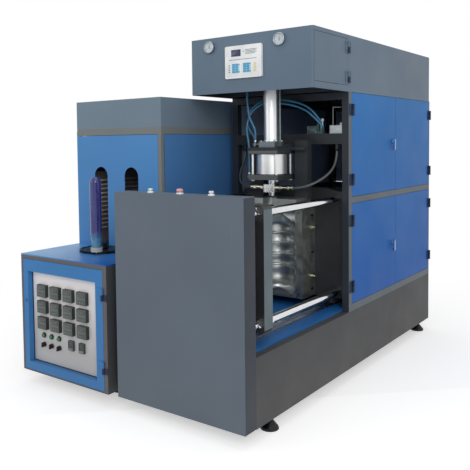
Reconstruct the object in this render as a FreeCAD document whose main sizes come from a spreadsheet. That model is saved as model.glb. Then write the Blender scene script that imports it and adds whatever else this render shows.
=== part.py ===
"""Semi-automatic stretch blow moulding machine with its preform heater.

Two machines stand side by side and work as one: on the left the infrared
preform heater, on the right the blowing machine with its mould clamp.
Lengths are millimetres. X runs to the right along the fronts, Y to the back
and Z up. Places are written from the blowing machine's front left corner on
the floor, and place() moves them to the row's origin, which lies on the floor
under the middle of both machines.
"""
import FreeCAD, Part
import math
import os
import re
import Sketcher

os.makedirs("parts", exist_ok=True)
doc = FreeCAD.newDocument("BlowMouldingMachine")
sheet = doc.addObject("Spreadsheet::Sheet", "Sizes")

SIZES = {
    # overall sizes of the two machines
    "blower_width": 780, "blower_length": 2380, "blower_height": 1940,
    "heater_width": 690, "heater_length": 1500, "heater_height": 1617,
    "unit_gap": 56, "heater_lead": 14, "foot_height": 72,
    # gauges and clearances used all over
    "sheet_gauge": 3, "door_depth": 18, "part_gap": 2, "running_gap": 0.3, "bore_gap": 0.08,
    "fit_gap": 0.1, "fold_radius": 4,
    # base, deck and levelling feet
    "base_height": 326, "base_wall": 6, "deck_thickness": 10,
    "foot_pad_size": 96, "foot_pad_thickness": 12, "foot_radius": 42,
    "foot_disc_height": 12, "foot_cone_height": 34, "foot_stud_radius": 14,
    "foot_stud_rise": 8, "foot_front": 275,
    "foot_rear_inset": 100, "heater_foot_inset_x": 130, "heater_foot_inset_y": 220,
    # folded console in front of the mould
    "console_depth": 88, "console_top": 1120, "button_spread": 185,
    "button_radius": 12, "button_height": 8, "plunger_radius": 7, "plunger_depth": 30,
    "collar_radius": 16, "collar_height": 7, "collar_chamfer": 2, "collar_depth": 40,
    "button_hole_radius": 11, "stop_radius": 16, "stop_height": 12, "stop_collar_radius": 18,
    "button_travel": 5,
    # cabinet frame behind the mould
    "post_size": 40, "cabinet_front": 1046, "header_bottom": 1630,
    "header_front": 635, "band_bottom": 1008, "band_top": 1044,
    "sill_height": 40, "door_split": 1736, "hinge_strip": 10, "rear_post_depth": 50,
    "rear_post_inset": 20, "bearer_size": 30, "bearer_inset": 6, "cross_height": 100,
    "saddle_width": 80, "saddle_height": 60, "saddle_lift": 20, "saddle_depth": 20,
    # hinges, handles
    "hinge_radius": 7, "hinge_pin_radius": 3, "hinge_height": 64,
    "leaf_thickness": 4, "leaf_width": 24, "leaf_gap": 1, "web_width": 6, "hinge_inset": 64,
    "handle_reach": 22, "handle_inset": 58, "handle_boss_radius": 15, "handle_boss_length": 8.8,
    "handle_shaft_radius": 7, "handle_shaft_reach": 11, "handle_bar_length": 66,
    "handle_bar_width": 15, "handle_bar_drop": 51.48, "upper_handle_drop": 279,
    "lower_handle_drop": 294, "cam_length": 30, "cam_inset": 3, "cam_thickness": 5, "cam_half": 9,
    # header, its side door, control panel and gauges
    "header_fold": 14, "header_door_length": 400, "header_door_low": 36, "header_door_high": 24,
    "header_hinge_inset": 12, "header_rim": 12,
    "panel_left": 249, "panel_width": 235, "panel_bottom": 1705, "panel_height": 175,
    "panel_proud": 14, "panel_corner": 8, "panel_rim": 12, "spigot_gap": 1, "spigot_depth": 30,
    "display_left": 41, "display_low": 116, "display_width": 64, "display_height": 38,
    "display_depth": 2, "keys_low": 27, "keys_height": 53, "key_proud": 1.5,
    "gauge_left": 139, "gauge_right": 590, "gauge_level": 1889,
    "gauge_radius": 33, "gauge_body_radius": 28, "gauge_proud": 16, "gauge_depth": 34,
    "gauge_rim": 4, "dial_depth": 8, "bezel_inset": 1.5, "bezel_depth": 2,
    "needle_length": 20, "needle_shaft_radius": 1.5, "needle_shaft_length": 12,
    "needle_shaft_lead": 3, "needle_hub_radius": 3.4, "needle_hub_length": 3.4,
    "needle_lead": 4, "pointer_lead": 2, "pointer_thickness": 1.2, "pointer_root": 2.4,
    "pointer_tail": 7, "pointer_tip": 0.8,
    # clamp: platens, tie bars, rails and cylinder
    "rail_spread": 240, "rail_width": 36, "rail_height": 32, "rail_flange": 5,
    "rail_groove": 6, "rail_foot": 9, "rail_head": 12, "rail_front": 140, "rail_rear_gap": 90,
    "platen_margin": 5, "platen_bottom": 456, "platen_top": 1066,
    "platen_thickness": 74, "platen_corner": 26, "platen_shoulder": 150,
    "front_platen_front": 232,
    "rear_platen_front": 1100, "rear_hump": 22, "end_plate_front": 1250,
    "tie_bar_radius": 21, "tie_bar_inset_x": 90, "tie_bar_inset_z": 41,
    "nut_radius": 36, "nut_length": 28, "bar_end": 12,
    "shoe_width": 84, "shoe_length": 130, "shoe_lift": 22.4,
    "cylinder_radius": 104, "cylinder_bore_radius": 86, "cylinder_length": 600,
    "cylinder_flange": 18, "cylinder_head": 12, "cylinder_flange_length": 28,
    "cylinder_floor": 20, "cylinder_cap": 26, "piston_rest_gap": 4,
    "rod_radius": 35, "rod_flange_radius": 62, "rod_flange_length": 20,
    "piston_length": 40, "recess_depth": 30, "rib_width": 26, "recess_rim": 96,
    # mould halves and the bottle that they form
    "mould_half_width": 151, "mould_depth": 155, "mould_bottom": 460,
    "mould_top": 977, "bottle_radius": 106, "bottle_base": 22,
    "bottle_shoulder": 372, "bottle_neck_radius": 29, "bottle_neck_low": 478,
    "rib_half": 10, "rib_crest": 3, "rib_depth": 6, "rib_first": 150, "rib_pitch": 62,
    "rib_count": 4,
    "foot_rise": 34, "push_up": 30,
    # blow and stretch unit over the mould
    "axis_y": 869, "neck_plate_bottom": 998, "neck_plate_top": 1040,
    "neck_plate_half": 180, "neck_plate_front": 829, "neck_plate_back": 1000,
    "neck_slot_radius": 34, "support_leg_width": 80, "support_leg_depth": 50,
    "leg_outset": 5, "arm_height": 23, "carrier_notch": 152, "rod_room": 4,
    "beam_bottom": 1342, "beam_height": 60, "carrier_thickness": 18,
    "seal_top": 1310, "seal_flange_half": 95, "seal_flange_top_thickness": 17,
    "seal_flange_low_thickness": 28, "seal_barrel_radius": 85,
    "seal_bore_radius": 74, "seal_barrel_length": 118, "seal_rod_offset": 77,
    "seal_rod_radius": 6, "seal_rod_reach": 12, "seal_room_rise": 4,
    "port_radius": 9, "port_pipe_radius": 7, "port_stub_radius": 8, "port_reach": 45,
    "port_stub": 24, "port_shift": 30, "low_port_drop": 14, "high_port_drop": 9,
    "stretch_tube_radius": 42, "stretch_bore_radius": 36, "stretch_cap_half": 52,
    "stretch_cap_height": 34, "stretch_top": 1925, "stretch_floor": 14, "stretch_head": 12,
    "switch_rod_radius": 5, "switch_rod_offset": 58, "switch_rod_start": 10,
    "switch_foot_half": 14, "switch_foot_lift": 4, "switch_head_height": 20,
    "stretch_rod_radius": 9, "stretch_tip_radius": 5.4, "stretch_piston_length": 30,
    "rod_recess": 6,
    "nozzle_rod_radius": 22, "nozzle_block_half": 36, "nozzle_block_low": 1074,
    "nozzle_block_high": 1118, "nozzle_corner": 6, "nozzle_shoulder": 12, "nozzle_tip_low": 1052,
    "nozzle_tip_radius": 18, "nozzle_neck_radius": 20.7,
    "fitting_level": 26, "fitting_radius": 10, "fitting_reach": 92, "fitting_nut_radius": 14,
    "fitting_nut_length": 14.72, "fitting_nut_near": 18.4, "fitting_nut_far": 66.24,
    "nozzle_piston_low": 1236, "nozzle_piston_length": 24,
    # valves and hoses
    "air_port_offset": 310, "air_port_length": 26, "valve_offset": 130, "valve_height": 45,
    "valve_width": 74, "valve_depth": 36, "valve_rim": 8, "valve_port_height": 14,
    "ledge_width": 26, "ledge_height": 14, "outlet_offset": 9, "outlet_stub": 12,
    "header_port_offset": 137, "header_port_lead": 38, "header_port_lift": 56,
    "header_port_stub": 14, "header_port_height": 30,
    "blue_hose_radius": 6.5, "dark_hose_radius": 7,
    # heater: cabinet, table and door
    "table_top": 742, "table_thickness": 6, "trim_width": 15,
    "hinge_trim": 27, "stile_left": 40, "stile_right": 54, "rail_bottom": 46, "rail_top": 69,
    "recess": 34, "heater_hinge_inset": 94, "cabinet_wall": 12, "heater_floor": 6, "heater_sill": 7,
    "heater_lintel": 20,
    # heater's instruments
    "plate_lap": 12, "module_width": 75, "module_height": 68, "module_proud": 22,
    "module_pitch_x": 109, "module_pitch_z": 91, "module_left": 60, "module_top": 72,
    "module_rim": 8, "module_display_height": 19, "module_display_depth": 2,
    "module_key_left": 9, "module_key_pitch": 16, "module_key_width": 13,
    "module_key_height": 9, "module_key_proud": 1.5,
    "lamp_left": 94, "lamp_pitch": 64, "lamp_drop": 360, "lamp_radius": 12, "lamp_taper": 3,
    "lamp_rim": 2, "lamp_proud": 16, "lamp_bezel": 6,
    "switch_drop": 413, "switch_radius": 14, "switch_taper": 2, "switch_proud": 14,
    "switch_shaft_radius": 5, "switch_shaft_length": 14, "grip_half": 3, "grip_proud": 24,
    "grip_depth": 13, "meter_left": 306, "meter_pitch": 84, "meter_width": 40,
    "meter_height": 54, "meter_top": 352, "meter_proud": 14, "meter_rim": 4, "meter_foot": 16,
    "meter_face_depth": 2,
    # oven over the heater's table
    "oven_front": 428, "hood_bottom": 1435, "oven_post": 24, "slot_width": 110,
    "slot_top": 1222, "tube_count": 12, "tube_radius": 6, "tube_first": 836,
    "tube_pitch": 27, "rack_offset": 276, "rack_width": 52, "rack_top": 1190,
    "rack_end_gap": 40, "tube_offset": 236,
    # conveyor, spindle and preform
    # (the wheels' spacing is the one for an oven as deep as spacing_depth, and follows it)
    "lane_offset": 125, "lane_middle": 332, "chain_width": 18, "chain_height": 15,
    "wheel_lift": 2, "wheel_front": 308, "wheel_spacing": 1000, "spacing_depth": 1058,
    "wheel_thickness": 10, "wheel_hub_radius": 30, "wheel_hub_lift": 8,
    "wheel_shaft_radius": 15, "shaft_room": 2, "tooth_depth": 9, "tooth_gap": 17,
    "tooth_count": 24, "hub_boss_radius": 36, "boss_height": 46, "boss_floor": 10,
    "spindle_angle": 31, "spindle_radius": 33, "spindle_height": 24, "spindle_pin_radius": 6,
    "pin_floor": 2, "pin_gap": 2,
    "plug_radius": 21, "plug_height": 46, "preform_radius": 32,
    "preform_neck_radius": 27, "preform_bore_radius": 22, "preform_wall": 5,
    "preform_neck_height": 48, "preform_taper": 26, "preform_inner_shift": 4,
    "preform_shoulder": 2, "preform_length": 396, "support_ring_radius": 31,
    "support_ring_height": 7, "gearbox_half": 60,
    "gearbox_height": 96, "motor_radius": 65, "motor_length": 210,
}
for row, (alias, value) in enumerate(SIZES.items(), start=1):
    sheet.set("A%d" % row, str(value))
    sheet.setAlias("A%d" % row, alias)
doc.recompute()

# The row's origin, written from the blowing machine's front left corner.
ORIGIN_X = "(blower_width + handle_reach - heater_width - unit_gap) / 2"
ORIGIN_Y = "(blower_length - heater_lead - 2 * hinge_radius - running_gap) / 2"

Vector = FreeCAD.Vector
TURNS = {"X": FreeCAD.Rotation(Vector(0, 1, 0), 90),
         "Y": FreeCAD.Rotation(Vector(1, 0, 0), -90),
         "Z": FreeCAD.Rotation()}


# ---------------------------------------------------------------- helpers
# A tool that cuts starts and ends 1 mm outside of what it cuts.

def link(text):
    """Point each named size in an expression at its cell."""
    return re.sub(r"[a-z][a-z0-9_]*",
                  lambda word: "Sizes." + word.group() if word.group() in SIZES else word.group(),
                  str(text))


def size(text):
    """The present value of an expression."""
    return float(sheet.evalExpression(str(text)))


def bind(item, **fields):
    for field, text in fields.items():
        item.setExpression(field, link(text))
    return item


def place(item, x, y, z, turn=TURNS["Z"]):
    item.Placement = FreeCAD.Placement(Vector(), turn)
    item.setExpression("Placement.Base.x", link("(%s) - %s" % (x, ORIGIN_X)))
    item.setExpression("Placement.Base.y", link("(%s) - %s" % (y, ORIGIN_Y)))
    item.setExpression("Placement.Base.z", link(z))
    return item


def add(kind, name):
    return doc.addObject(kind, name)


def box(name, x, y, z, dx, dy, dz):
    item = bind(add("Part::Box", name), Length=dx, Width=dy, Height=dz)
    return place(item, x, y, z)


def rod(name, axis, x, y, z, radius, length):
    item = bind(add("Part::Cylinder", name), Radius=radius, Height=length)
    return place(item, x, y, z, TURNS[axis])


def hexagon(name, axis, x, y, z, radius, length):
    item = add("Part::Prism", name)
    item.Polygon = 6
    bind(item, Circumradius=radius, Height=length)
    return place(item, x, y, z, TURNS[axis])


def fuse(label, *items):
    item = add("Part::MultiFuse", label)
    item.Shapes = list(items)
    item.Refine = True
    item.Label = label
    return item


def cut(label, base, *tools):
    item = add("Part::Cut", label)
    item.Base = base
    item.Tool = tools[0] if len(tools) == 1 else fuse(label + "_tools", *tools)
    item.Refine = True
    item.Label = label
    return item


def group(label, *items):
    """Separate solids that share one node."""
    item = add("Part::Compound", label)
    item.Links = list(items)
    item.Label = label
    return item


def new_body(label):
    body = add("PartDesign::Body", label)
    body.Label = label
    return body


def new_sketch(body, plane, name):
    sketch = body.newObject("Sketcher::SketchObject", name)
    support = [item for item in body.Origin.OriginFeatures if item.Role == plane][0]
    sketch.AttachmentSupport = [(support, "")]
    sketch.MapMode = "FlatFace"
    return sketch


def pin_point(sketch, edge, end, u, v):
    """Hold one end of an edge at a place given by two expressions."""
    for kind, text in (("DistanceX", u), ("DistanceY", v)):
        number = sketch.addConstraint(Sketcher.Constraint(kind, -1, 1, edge, end, size(text)))
        sketch.setExpression("Constraints[%d]" % number, link(text))


def arc_between(start, end, radius, side):
    """An arc from start to end: side 1 turns left on its way, side -1 turns right."""
    half = (end - start) / 2
    reach = math.sqrt(max(radius ** 2 - half.Length ** 2, 0))
    middle = start + half + Vector(-half.y, half.x, 0).normalize() * reach * side
    first, last = [math.atan2(spot.y - middle.y, spot.x - middle.x)
                   for spot in ((start, end) if side > 0 else (end, start))]
    if last < first:
        last += 2 * math.pi
    return Part.ArcOfCircle(Part.Circle(middle, Vector(0, 0, 1), radius), first, last)


def outline(sketch, points):
    """A closed outline: (u, v) ends a line, (u, v, radius, side) ends an arc."""
    places = [Vector(size(point[0]), size(point[1]), 0) for point in points]
    first = sketch.GeometryCount
    ends = []
    for i, point in enumerate(points):
        if len(point) == 2:
            sketch.addGeometry(Part.LineSegment(places[i - 1], places[i]))
            ends.append(2)
        else:
            sketch.addGeometry(arc_between(places[i - 1], places[i], size(point[2]), point[3]))
            ends.append(2 if point[3] > 0 else 1)
    for i, point in enumerate(points):
        following = (i + 1) % len(points)
        sketch.addConstraint(Sketcher.Constraint("Coincident", first + i, ends[i],
                                                 first + following, 3 - ends[following]))
        pin_point(sketch, first + i, ends[i], point[0], point[1])
        if len(point) > 2:
            number = sketch.addConstraint(Sketcher.Constraint("Radius", first + i, size(point[2])))
            sketch.setExpression("Constraints[%d]" % number, link(point[2]))


def pad(body, sketch, length, backwards=False):
    item = body.newObject("PartDesign::Pad", "Pad")
    item.Profile = sketch
    item.Reversed = backwards
    return bind(item, Length=length)


PLANES = {"X": ("YZ_Plane", False), "Y": ("XZ_Plane", True), "Z": ("XY_Plane", False)}


def prism(label, axis, x, y, z, points, length):
    """An outline pushed along an axis: (Y, Z), (X, Z) or (X, Y) points."""
    body = new_body(label)
    plane, backwards = PLANES[axis]
    sketch = new_sketch(body, plane, label + "_outline")
    outline(sketch, points)
    pad(body, sketch, length, backwards)
    return place(body, x, y, z)


def block_points(du, dv):
    return [("0", "0"), (du, "0"), (du, dv), ("0", dv)]


def turned(label, axis, x, y, z, points):
    """A (radius, height) outline turned about an axis."""
    body = new_body(label)
    sketch = new_sketch(body, "XZ_Plane", label + "_profile")
    outline(sketch, points)
    item = body.newObject("PartDesign::Revolution", "Revolution")
    item.Profile = sketch
    item.ReferenceAxis = (sketch, ["V_Axis"])
    item.Angle = 360
    return place(body, x, y, z, TURNS[axis])


def picked(feature, kind, test):
    """Names of a feature's edges or faces that pass a test."""
    items = feature.Shape.Edges if kind == "Edge" else feature.Shape.Faces
    return ["%s%d" % (kind, i) for i, item in enumerate(items, start=1) if test(item)]


def soften(body, radius, test):
    """Round the edges of a body's tip that pass a test."""
    doc.recompute()
    tip = body.Tip
    item = body.newObject("PartDesign::Fillet", "Fillet")
    item.Base = (tip, picked(tip, "Edge", test))
    return bind(item, Radius=radius)


def along(edge, axis):
    """True for a straight edge that runs along an axis."""
    if not isinstance(edge.Curve, Part.Line):
        return False
    direction = edge.tangentAt(edge.FirstParameter)
    return abs(getattr(direction, axis.lower())) > 0.999


SIDES = {"+X": Vector(1, 0, 0), "-X": Vector(-1, 0, 0), "+Y": Vector(0, 1, 0),
         "-Y": Vector(0, -1, 0), "+Z": Vector(0, 0, 1), "-Z": Vector(0, 0, -1)}


def faces_side(face, side):
    return (isinstance(face.Surface, Part.Plane)
            and face.normalAt(0, 0).dot(SIDES[side]) > 0.999)


def pan(label, x, y, z, dx, dy, dz, open_side, fold="fold_radius"):
    """A folded sheet pan: a box with soft folds and one open side."""
    body = prism(label, "Z", x, y, z, block_points(dx, dy), dz)
    axis = open_side[1]

    def on_skin(edge):
        box_of = body.Tip.Shape.BoundBox
        reach = {"X": (box_of.XMin, box_of.XMax), "Y": (box_of.YMin, box_of.YMax),
                 "Z": (box_of.ZMin, box_of.ZMax)}[axis][0 if open_side[0] == "+" else 1]
        return abs(getattr(edge.CenterOfMass, axis.lower()) - reach) < 0.01 or along(edge, axis)

    soften(body, fold, on_skin)
    doc.recompute()
    tip = body.Tip
    item = body.newObject("PartDesign::Thickness", "Thickness")
    item.Base = (tip, picked(tip, "Face", lambda face: faces_side(face, open_side)))
    item.Reversed = True
    item.Join = 1
    bind(item, Value="sheet_gauge")
    return body


def mirrored(text):
    """The same place seen from the blowing machine's other side."""
    return "blower_width - (%s)" % text


# ---------------------------------------------------------------- base

MID = "blower_width / 2"
BASE_TOP = "foot_height + base_height"
DECK_TOP = "foot_height + base_height + deck_thickness"
REAR_POST = "blower_length - hinge_strip - rear_post_depth"
HEATER_LEFT = "0 - unit_gap - heater_width"
HEATER_FRONT = "0 - heater_lead"


def make_base():
    """Welded plinth, open below, with a drilled pad over each foot."""
    outer = box("plinth_skin", "0", "console_depth", "foot_height",
                "blower_width", "blower_length - console_depth", "base_height")
    inner = box("plinth_room", "base_wall", "console_depth + base_wall", "foot_height",
                "blower_width - 2 * base_wall", "blower_length - console_depth - 2 * base_wall",
                "base_height - base_wall")
    pads = []
    bores = []
    for i, (x, y) in enumerate(FEET[:4]):
        corner = "0" if i % 2 == 0 else "blower_width - foot_pad_size"
        pads.append(box("foot_pad_%d" % i, corner, y + " - foot_pad_size / 2", "foot_height",
                        "foot_pad_size", "foot_pad_size", "foot_pad_thickness"))
        bores.append(rod("foot_bore_%d" % i, "Z", x, y, "foot_height - 1",
                         "foot_stud_radius + fit_gap", "foot_pad_thickness + 2"))
    shell = cut("plinth_shell", outer, inner)
    return cut("base_plinth", fuse("plinth_welded", shell, *pads), *bores)


FOOT_LEFT = "foot_pad_size / 2"
FEET = [(x, y) for y in ("foot_front", "blower_length - foot_rear_inset")
        for x in (FOOT_LEFT, mirrored(FOOT_LEFT))]
FEET += [(x, y)
         for y in ("%s + heater_foot_inset_y" % HEATER_FRONT,
                   "%s + heater_length - heater_foot_inset_y" % HEATER_FRONT)
         for x in ("%s + heater_foot_inset_x" % HEATER_LEFT,
                   "0 - unit_gap - heater_foot_inset_x")]


def make_feet():
    """Levelling feet: a turned pad with a stud that screws into its pad."""
    top = "foot_height + foot_pad_thickness + foot_stud_rise"
    shape = [("0", "0"), ("foot_radius", "0"), ("foot_radius", "foot_disc_height"),
             ("foot_stud_radius", "foot_disc_height + foot_cone_height"),
             ("foot_stud_radius", top), ("0", top)]
    feet = [turned("foot_%d" % i, "Z", x, y, "0", shape) for i, (x, y) in enumerate(FEET)]
    return group("levelling_feet", *feet)


def make_deck():
    return box("deck_plate", "post_size + part_gap", "console_depth + part_gap", BASE_TOP,
               "blower_width - 2 * (post_size + part_gap)",
               "(%s) - console_depth - 2 * part_gap" % REAR_POST, "deck_thickness")


def make_rails():
    """Two slide rails with a foot, a web and a head."""
    foot, head = "rail_width / 2 + rail_flange", "rail_width / 2"
    web = "rail_width / 2 - rail_groove"
    low, high = "rail_foot", "rail_height - rail_head"
    half = [(foot, "0"), (foot, low), (web, low), (web, high), (head, high), (head, "rail_height")]
    shape = half + [("0 - (%s)" % u, v) for u, v in reversed(half)]
    rails = [prism("rail_%s" % side, "Y", "%s %s rail_spread" % (MID, sign), "rail_front",
                   DECK_TOP, shape, "blower_length - rail_front - rail_rear_gap")
             for side, sign in (("left", "-"), ("right", "+"))]
    return group("guide_rails", *rails)


# ---------------------------------------------------------------- console

BUTTON_Y = "console_depth / 2"


def make_console():
    """Folded console cover with three button holes in its top."""
    cover = pan("console_folded", "0", "0", "foot_height", "blower_width", "console_depth",
                "console_top - foot_height", "+Y")
    holes = [rod("button_hole_%d" % i, "Z", x, BUTTON_Y, "console_top - sheet_gauge - 1",
                 "button_hole_radius", "sheet_gauge + 2")
             for i, x in enumerate((MID + " - button_spread", MID, MID + " + button_spread"))]
    return cut("console_cover", cover, *holes)


def make_collars():
    """Button housings: a ring over the sheet and a barrel through it."""
    bore, neck = "plunger_radius + bore_gap", "button_hole_radius - running_gap"
    rings = []
    for i, (x, radius) in enumerate(((MID + " - button_spread", "collar_radius"),
                                     (MID, "stop_collar_radius"),
                                     (MID + " + button_spread", "collar_radius"))):
        shape = [(bore, "0 - collar_depth"), (neck, "0 - collar_depth"), (neck, "0"),
                 (radius, "0"), (radius + " - collar_chamfer", "collar_height"),
                 (bore, "collar_height")]
        rings.append(turned("collar_%d" % i, "Z", x, BUTTON_Y, "console_top", shape))
    return group("button_collars", *rings)


def make_button(label, x, head, height):
    """A mushroom head with a plunger in its collar."""
    lift = "collar_height + button_travel + running_gap"
    stem, low = "plunger_radius", "0 - plunger_depth"
    crown = "%s + %s" % (lift, height)
    shape = [("0", low), (stem, low), (stem, lift), (head, lift),
             (head, "%s - %s * 0.35" % (crown, height)),
             (head + " * 0.72", crown), ("0", crown)]
    return turned(label, "Z", x, BUTTON_Y, "console_top", shape)


# ---------------------------------------------------------------- cabinet frame and skins

TOP_LOW = "header_bottom - post_size"
PILLAR = "blower_width - post_size"
REAR_IN = "rear_post_inset + post_size"
BEARER_RIGHT = "blower_width - bearer_inset - bearer_size"
TUBE_BACK = "axis_y + stretch_tube_radius + running_gap"
CROSS_Y = "axis_y + stretch_tube_radius + saddle_depth"


def beam(name, x, y, z, dx, dy, dz):
    return box("frame_" + name, x, y, z, dx, dy, dz)


def make_frame():
    """Welded frame: four posts, the rails between the doors and the header's bearers."""
    run = "blower_length - cabinet_front - post_size - hinge_strip - rear_post_depth"
    parts = []
    for side, x_post, x_rear, x_bearer in (
            ("left", "0", "rear_post_inset", "bearer_inset"),
            ("right", PILLAR, PILLAR + " - rear_post_inset", BEARER_RIGHT)):
        parts += [
            beam("front_post_" + side, x_post, "cabinet_front", BASE_TOP,
                 "post_size", "post_size", "header_bottom - (%s)" % BASE_TOP),
            beam("rear_post_" + side, x_rear, REAR_POST, BASE_TOP,
                 "post_size", "rear_post_depth", "header_bottom - (%s)" % BASE_TOP),
            beam("corner_" + side, x_post, "blower_length - hinge_strip", BASE_TOP,
                 "post_size", "hinge_strip", "header_bottom - (%s)" % BASE_TOP),
            beam("sill_" + side, x_post, "cabinet_front + post_size", BASE_TOP, "post_size",
                 "blower_length - cabinet_front - post_size - hinge_strip", "sill_height"),
            beam("band_" + side, x_post, "cabinet_front + post_size", "band_bottom", "post_size",
                 "blower_length - cabinet_front - post_size - hinge_strip",
                 "band_top - band_bottom"),
            beam("top_" + side, x_rear, "cabinet_front + post_size", TOP_LOW, "post_size",
                 run, "post_size"),
            beam("bearer_" + side, x_bearer, "header_front + header_fold", "header_bottom",
                 "bearer_size", "blower_length - header_front - 2 * header_fold", "bearer_size"),
        ]
    inside = "blower_width - 2 * post_size"
    rear = "blower_width - 2 * (%s)" % REAR_IN
    parts += [
        beam("top_front", "post_size", "cabinet_front", TOP_LOW, inside, "post_size", "post_size"),
        beam("top_rear", REAR_IN, REAR_POST, TOP_LOW, rear, "post_size", "post_size"),
        beam("band_rear", REAR_IN, REAR_POST, "band_bottom", rear, "post_size",
             "band_top - band_bottom"),
        beam("sill_rear", REAR_IN, REAR_POST, BASE_TOP, rear, "post_size", "sill_height"),
        beam("header_cross", "bearer_inset", CROSS_Y, "header_bottom",
             "blower_width - 2 * bearer_inset", "bearer_size", "cross_height"),
        beam("tube_saddle", MID + " - saddle_width / 2", TUBE_BACK, "header_bottom + saddle_lift",
             "saddle_width", "(%s) - (%s)" % (CROSS_Y, TUBE_BACK), "saddle_height"),
    ]
    return fuse("cabinet_frame", *parts)


LOWER_Z = BASE_TOP + " + sill_height + part_gap"
UPPER_Z = "band_top + part_gap"
LOWER_H = "band_bottom - part_gap - (%s)" % LOWER_Z
UPPER_H = "header_bottom - 2 * part_gap - band_top"
DOOR_FRONT = "cabinet_front + post_size + part_gap"
DOOR_BACK = "blower_length - hinge_strip - part_gap"


def make_cabinet_panels():
    """Fixed pans on the left side and on the back."""
    length = "(%s) - (%s)" % (DOOR_BACK, DOOR_FRONT)
    side = [pan("left_pan_" + name, "0", DOOR_FRONT, z + " - part_gap", "door_depth", length,
                height + " + part_gap", "+X")
            for name, z, height in (("lower", LOWER_Z, LOWER_H), ("upper", UPPER_Z, UPPER_H))]
    back = [pan("back_pan_" + name, "post_size + part_gap", "blower_length - hinge_strip", z,
                "blower_width - 2 * (post_size + part_gap)", "hinge_strip", height, "-Y")
            for name, z, height in (("lower", LOWER_Z, LOWER_H), ("upper", UPPER_Z, UPPER_H))]
    return group("cabinet_panels", *(side + back))


HINGE_X = "blower_width + hinge_radius + running_gap"
FRONT_AXIS = "cabinet_front + post_size + part_gap / 2"
REAR_AXIS = "blower_length - hinge_strip - part_gap / 2"


def hinge_half(name, x, y, z, leaf_y, web_y, upper, height="hinge_height", face="blower_width"):
    """One hinge leaf on a +X face: the lower half carries the pin."""
    half = height + " / 2"
    low = "(%s) + (%s) + running_gap / 2" % (z, half) if upper else z
    tall = "%s - running_gap / 2" % half
    knuckle = rod(name + "_knuckle", "Z", x, y, low, "hinge_radius", tall)
    leaf = box(name + "_leaf", face, leaf_y, z, "leaf_thickness", "leaf_width", height)
    web = box(name + "_web", face, web_y, low, "leaf_thickness", "hinge_radius + web_width", tall)
    if upper:
        bore = rod(name + "_bore", "Z", x, y, "(%s) - 1" % low,
                   "hinge_pin_radius + bore_gap", "(%s) + 2" % tall)
        return cut(name, fuse(name + "_joined", knuckle, leaf, web), bore)
    pin = rod(name + "_pin", "Z", x, y, z, "hinge_pin_radius", height)
    return fuse(name, knuckle, leaf, web, pin)


def door_hinges(z, height):
    """Heights of a door's two hinges."""
    return "(%s) + hinge_inset" % z, "(%s) + (%s) - hinge_inset - hinge_height" % (z, height)


def side_hinge(name, z, front, moving):
    """A door hinge half on the front post, the rear strip or the door itself."""
    axis = FRONT_AXIS if front else REAR_AXIS
    towards_door = front == moving
    if towards_door:
        leaf_y, web_y = "(%s) + hinge_radius + leaf_gap" % axis, axis
    else:
        leaf_y = "(%s) - hinge_radius - leaf_gap - leaf_width" % axis
        web_y = "(%s) - hinge_radius - web_width" % axis
    return hinge_half(name, HINGE_X, axis, z, leaf_y, web_y, moving)


def corner_hinge(name, z):
    """The rear doors' fixed half: its leaf is as narrow as the corner strip."""
    low_half = "hinge_height / 2 - running_gap / 2"
    knuckle = rod(name + "_knuckle", "Z", HINGE_X, REAR_AXIS, z, "hinge_radius", low_half)
    pin = rod(name + "_pin", "Z", HINGE_X, REAR_AXIS, z, "hinge_pin_radius", "hinge_height")
    leaf = box(name + "_leaf", "blower_width", REAR_AXIS, z, "leaf_thickness",
               "blower_length - (%s)" % REAR_AXIS, low_half)
    return fuse(name, knuckle, pin, leaf)


def make_door(label, z, height, front, handle_z):
    """A side door: a folded pan with its hinge leaves and, in front, a lock hole."""
    y = DOOR_FRONT if front else "door_split + part_gap"
    length = ("door_split - part_gap - (%s)" % DOOR_FRONT if front
              else "(%s) - door_split - part_gap" % DOOR_BACK)
    skin = pan(label + "_pan", "blower_width - door_depth", y, z, "door_depth", length, height,
               "-X")
    leaves = [side_hinge("%s_hinge_%d" % (label, i), level, front, True)
              for i, level in enumerate(door_hinges(z, height))]
    if not handle_z:
        return fuse(label, skin, *leaves)
    hole = rod(label + "_lock_hole", "X", "blower_width - sheet_gauge - 1", HANDLE_Y, handle_z,
               "handle_shaft_radius + bore_gap", "sheet_gauge + 2")
    return fuse(label, cut(label + "_drilled", skin, hole), *leaves)


HANDLE_Y = "door_split - handle_inset"
HANDLE_Z = {"upper": "header_bottom - upper_handle_drop",
            "lower": "band_bottom - lower_handle_drop"}


def make_handle(label, z):
    """A turn handle: boss and bar outside, shaft through the skin, cam behind it."""
    boss = rod(label + "_boss", "X", "blower_width + running_gap", HANDLE_Y, z,
               "handle_boss_radius", "handle_boss_length")
    bar = box(label + "_bar", "blower_width + handle_boss_length",
              HANDLE_Y + " - handle_bar_width / 2", "(%s) - handle_bar_drop" % z,
              "handle_reach - handle_boss_length", "handle_bar_width", "handle_bar_length")
    inside = "blower_width - door_depth + cam_inset"
    shaft = rod(label + "_shaft", "X", inside, HANDLE_Y, z, "handle_shaft_radius",
                "door_depth + handle_shaft_reach")
    cam = box(label + "_cam", inside, HANDLE_Y + " - cam_half", "(%s) - cam_half" % z,
              "cam_thickness", "cam_length", "2 * cam_half")
    return fuse(label, boss, bar, shaft, cam)


# ---------------------------------------------------------------- header

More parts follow.
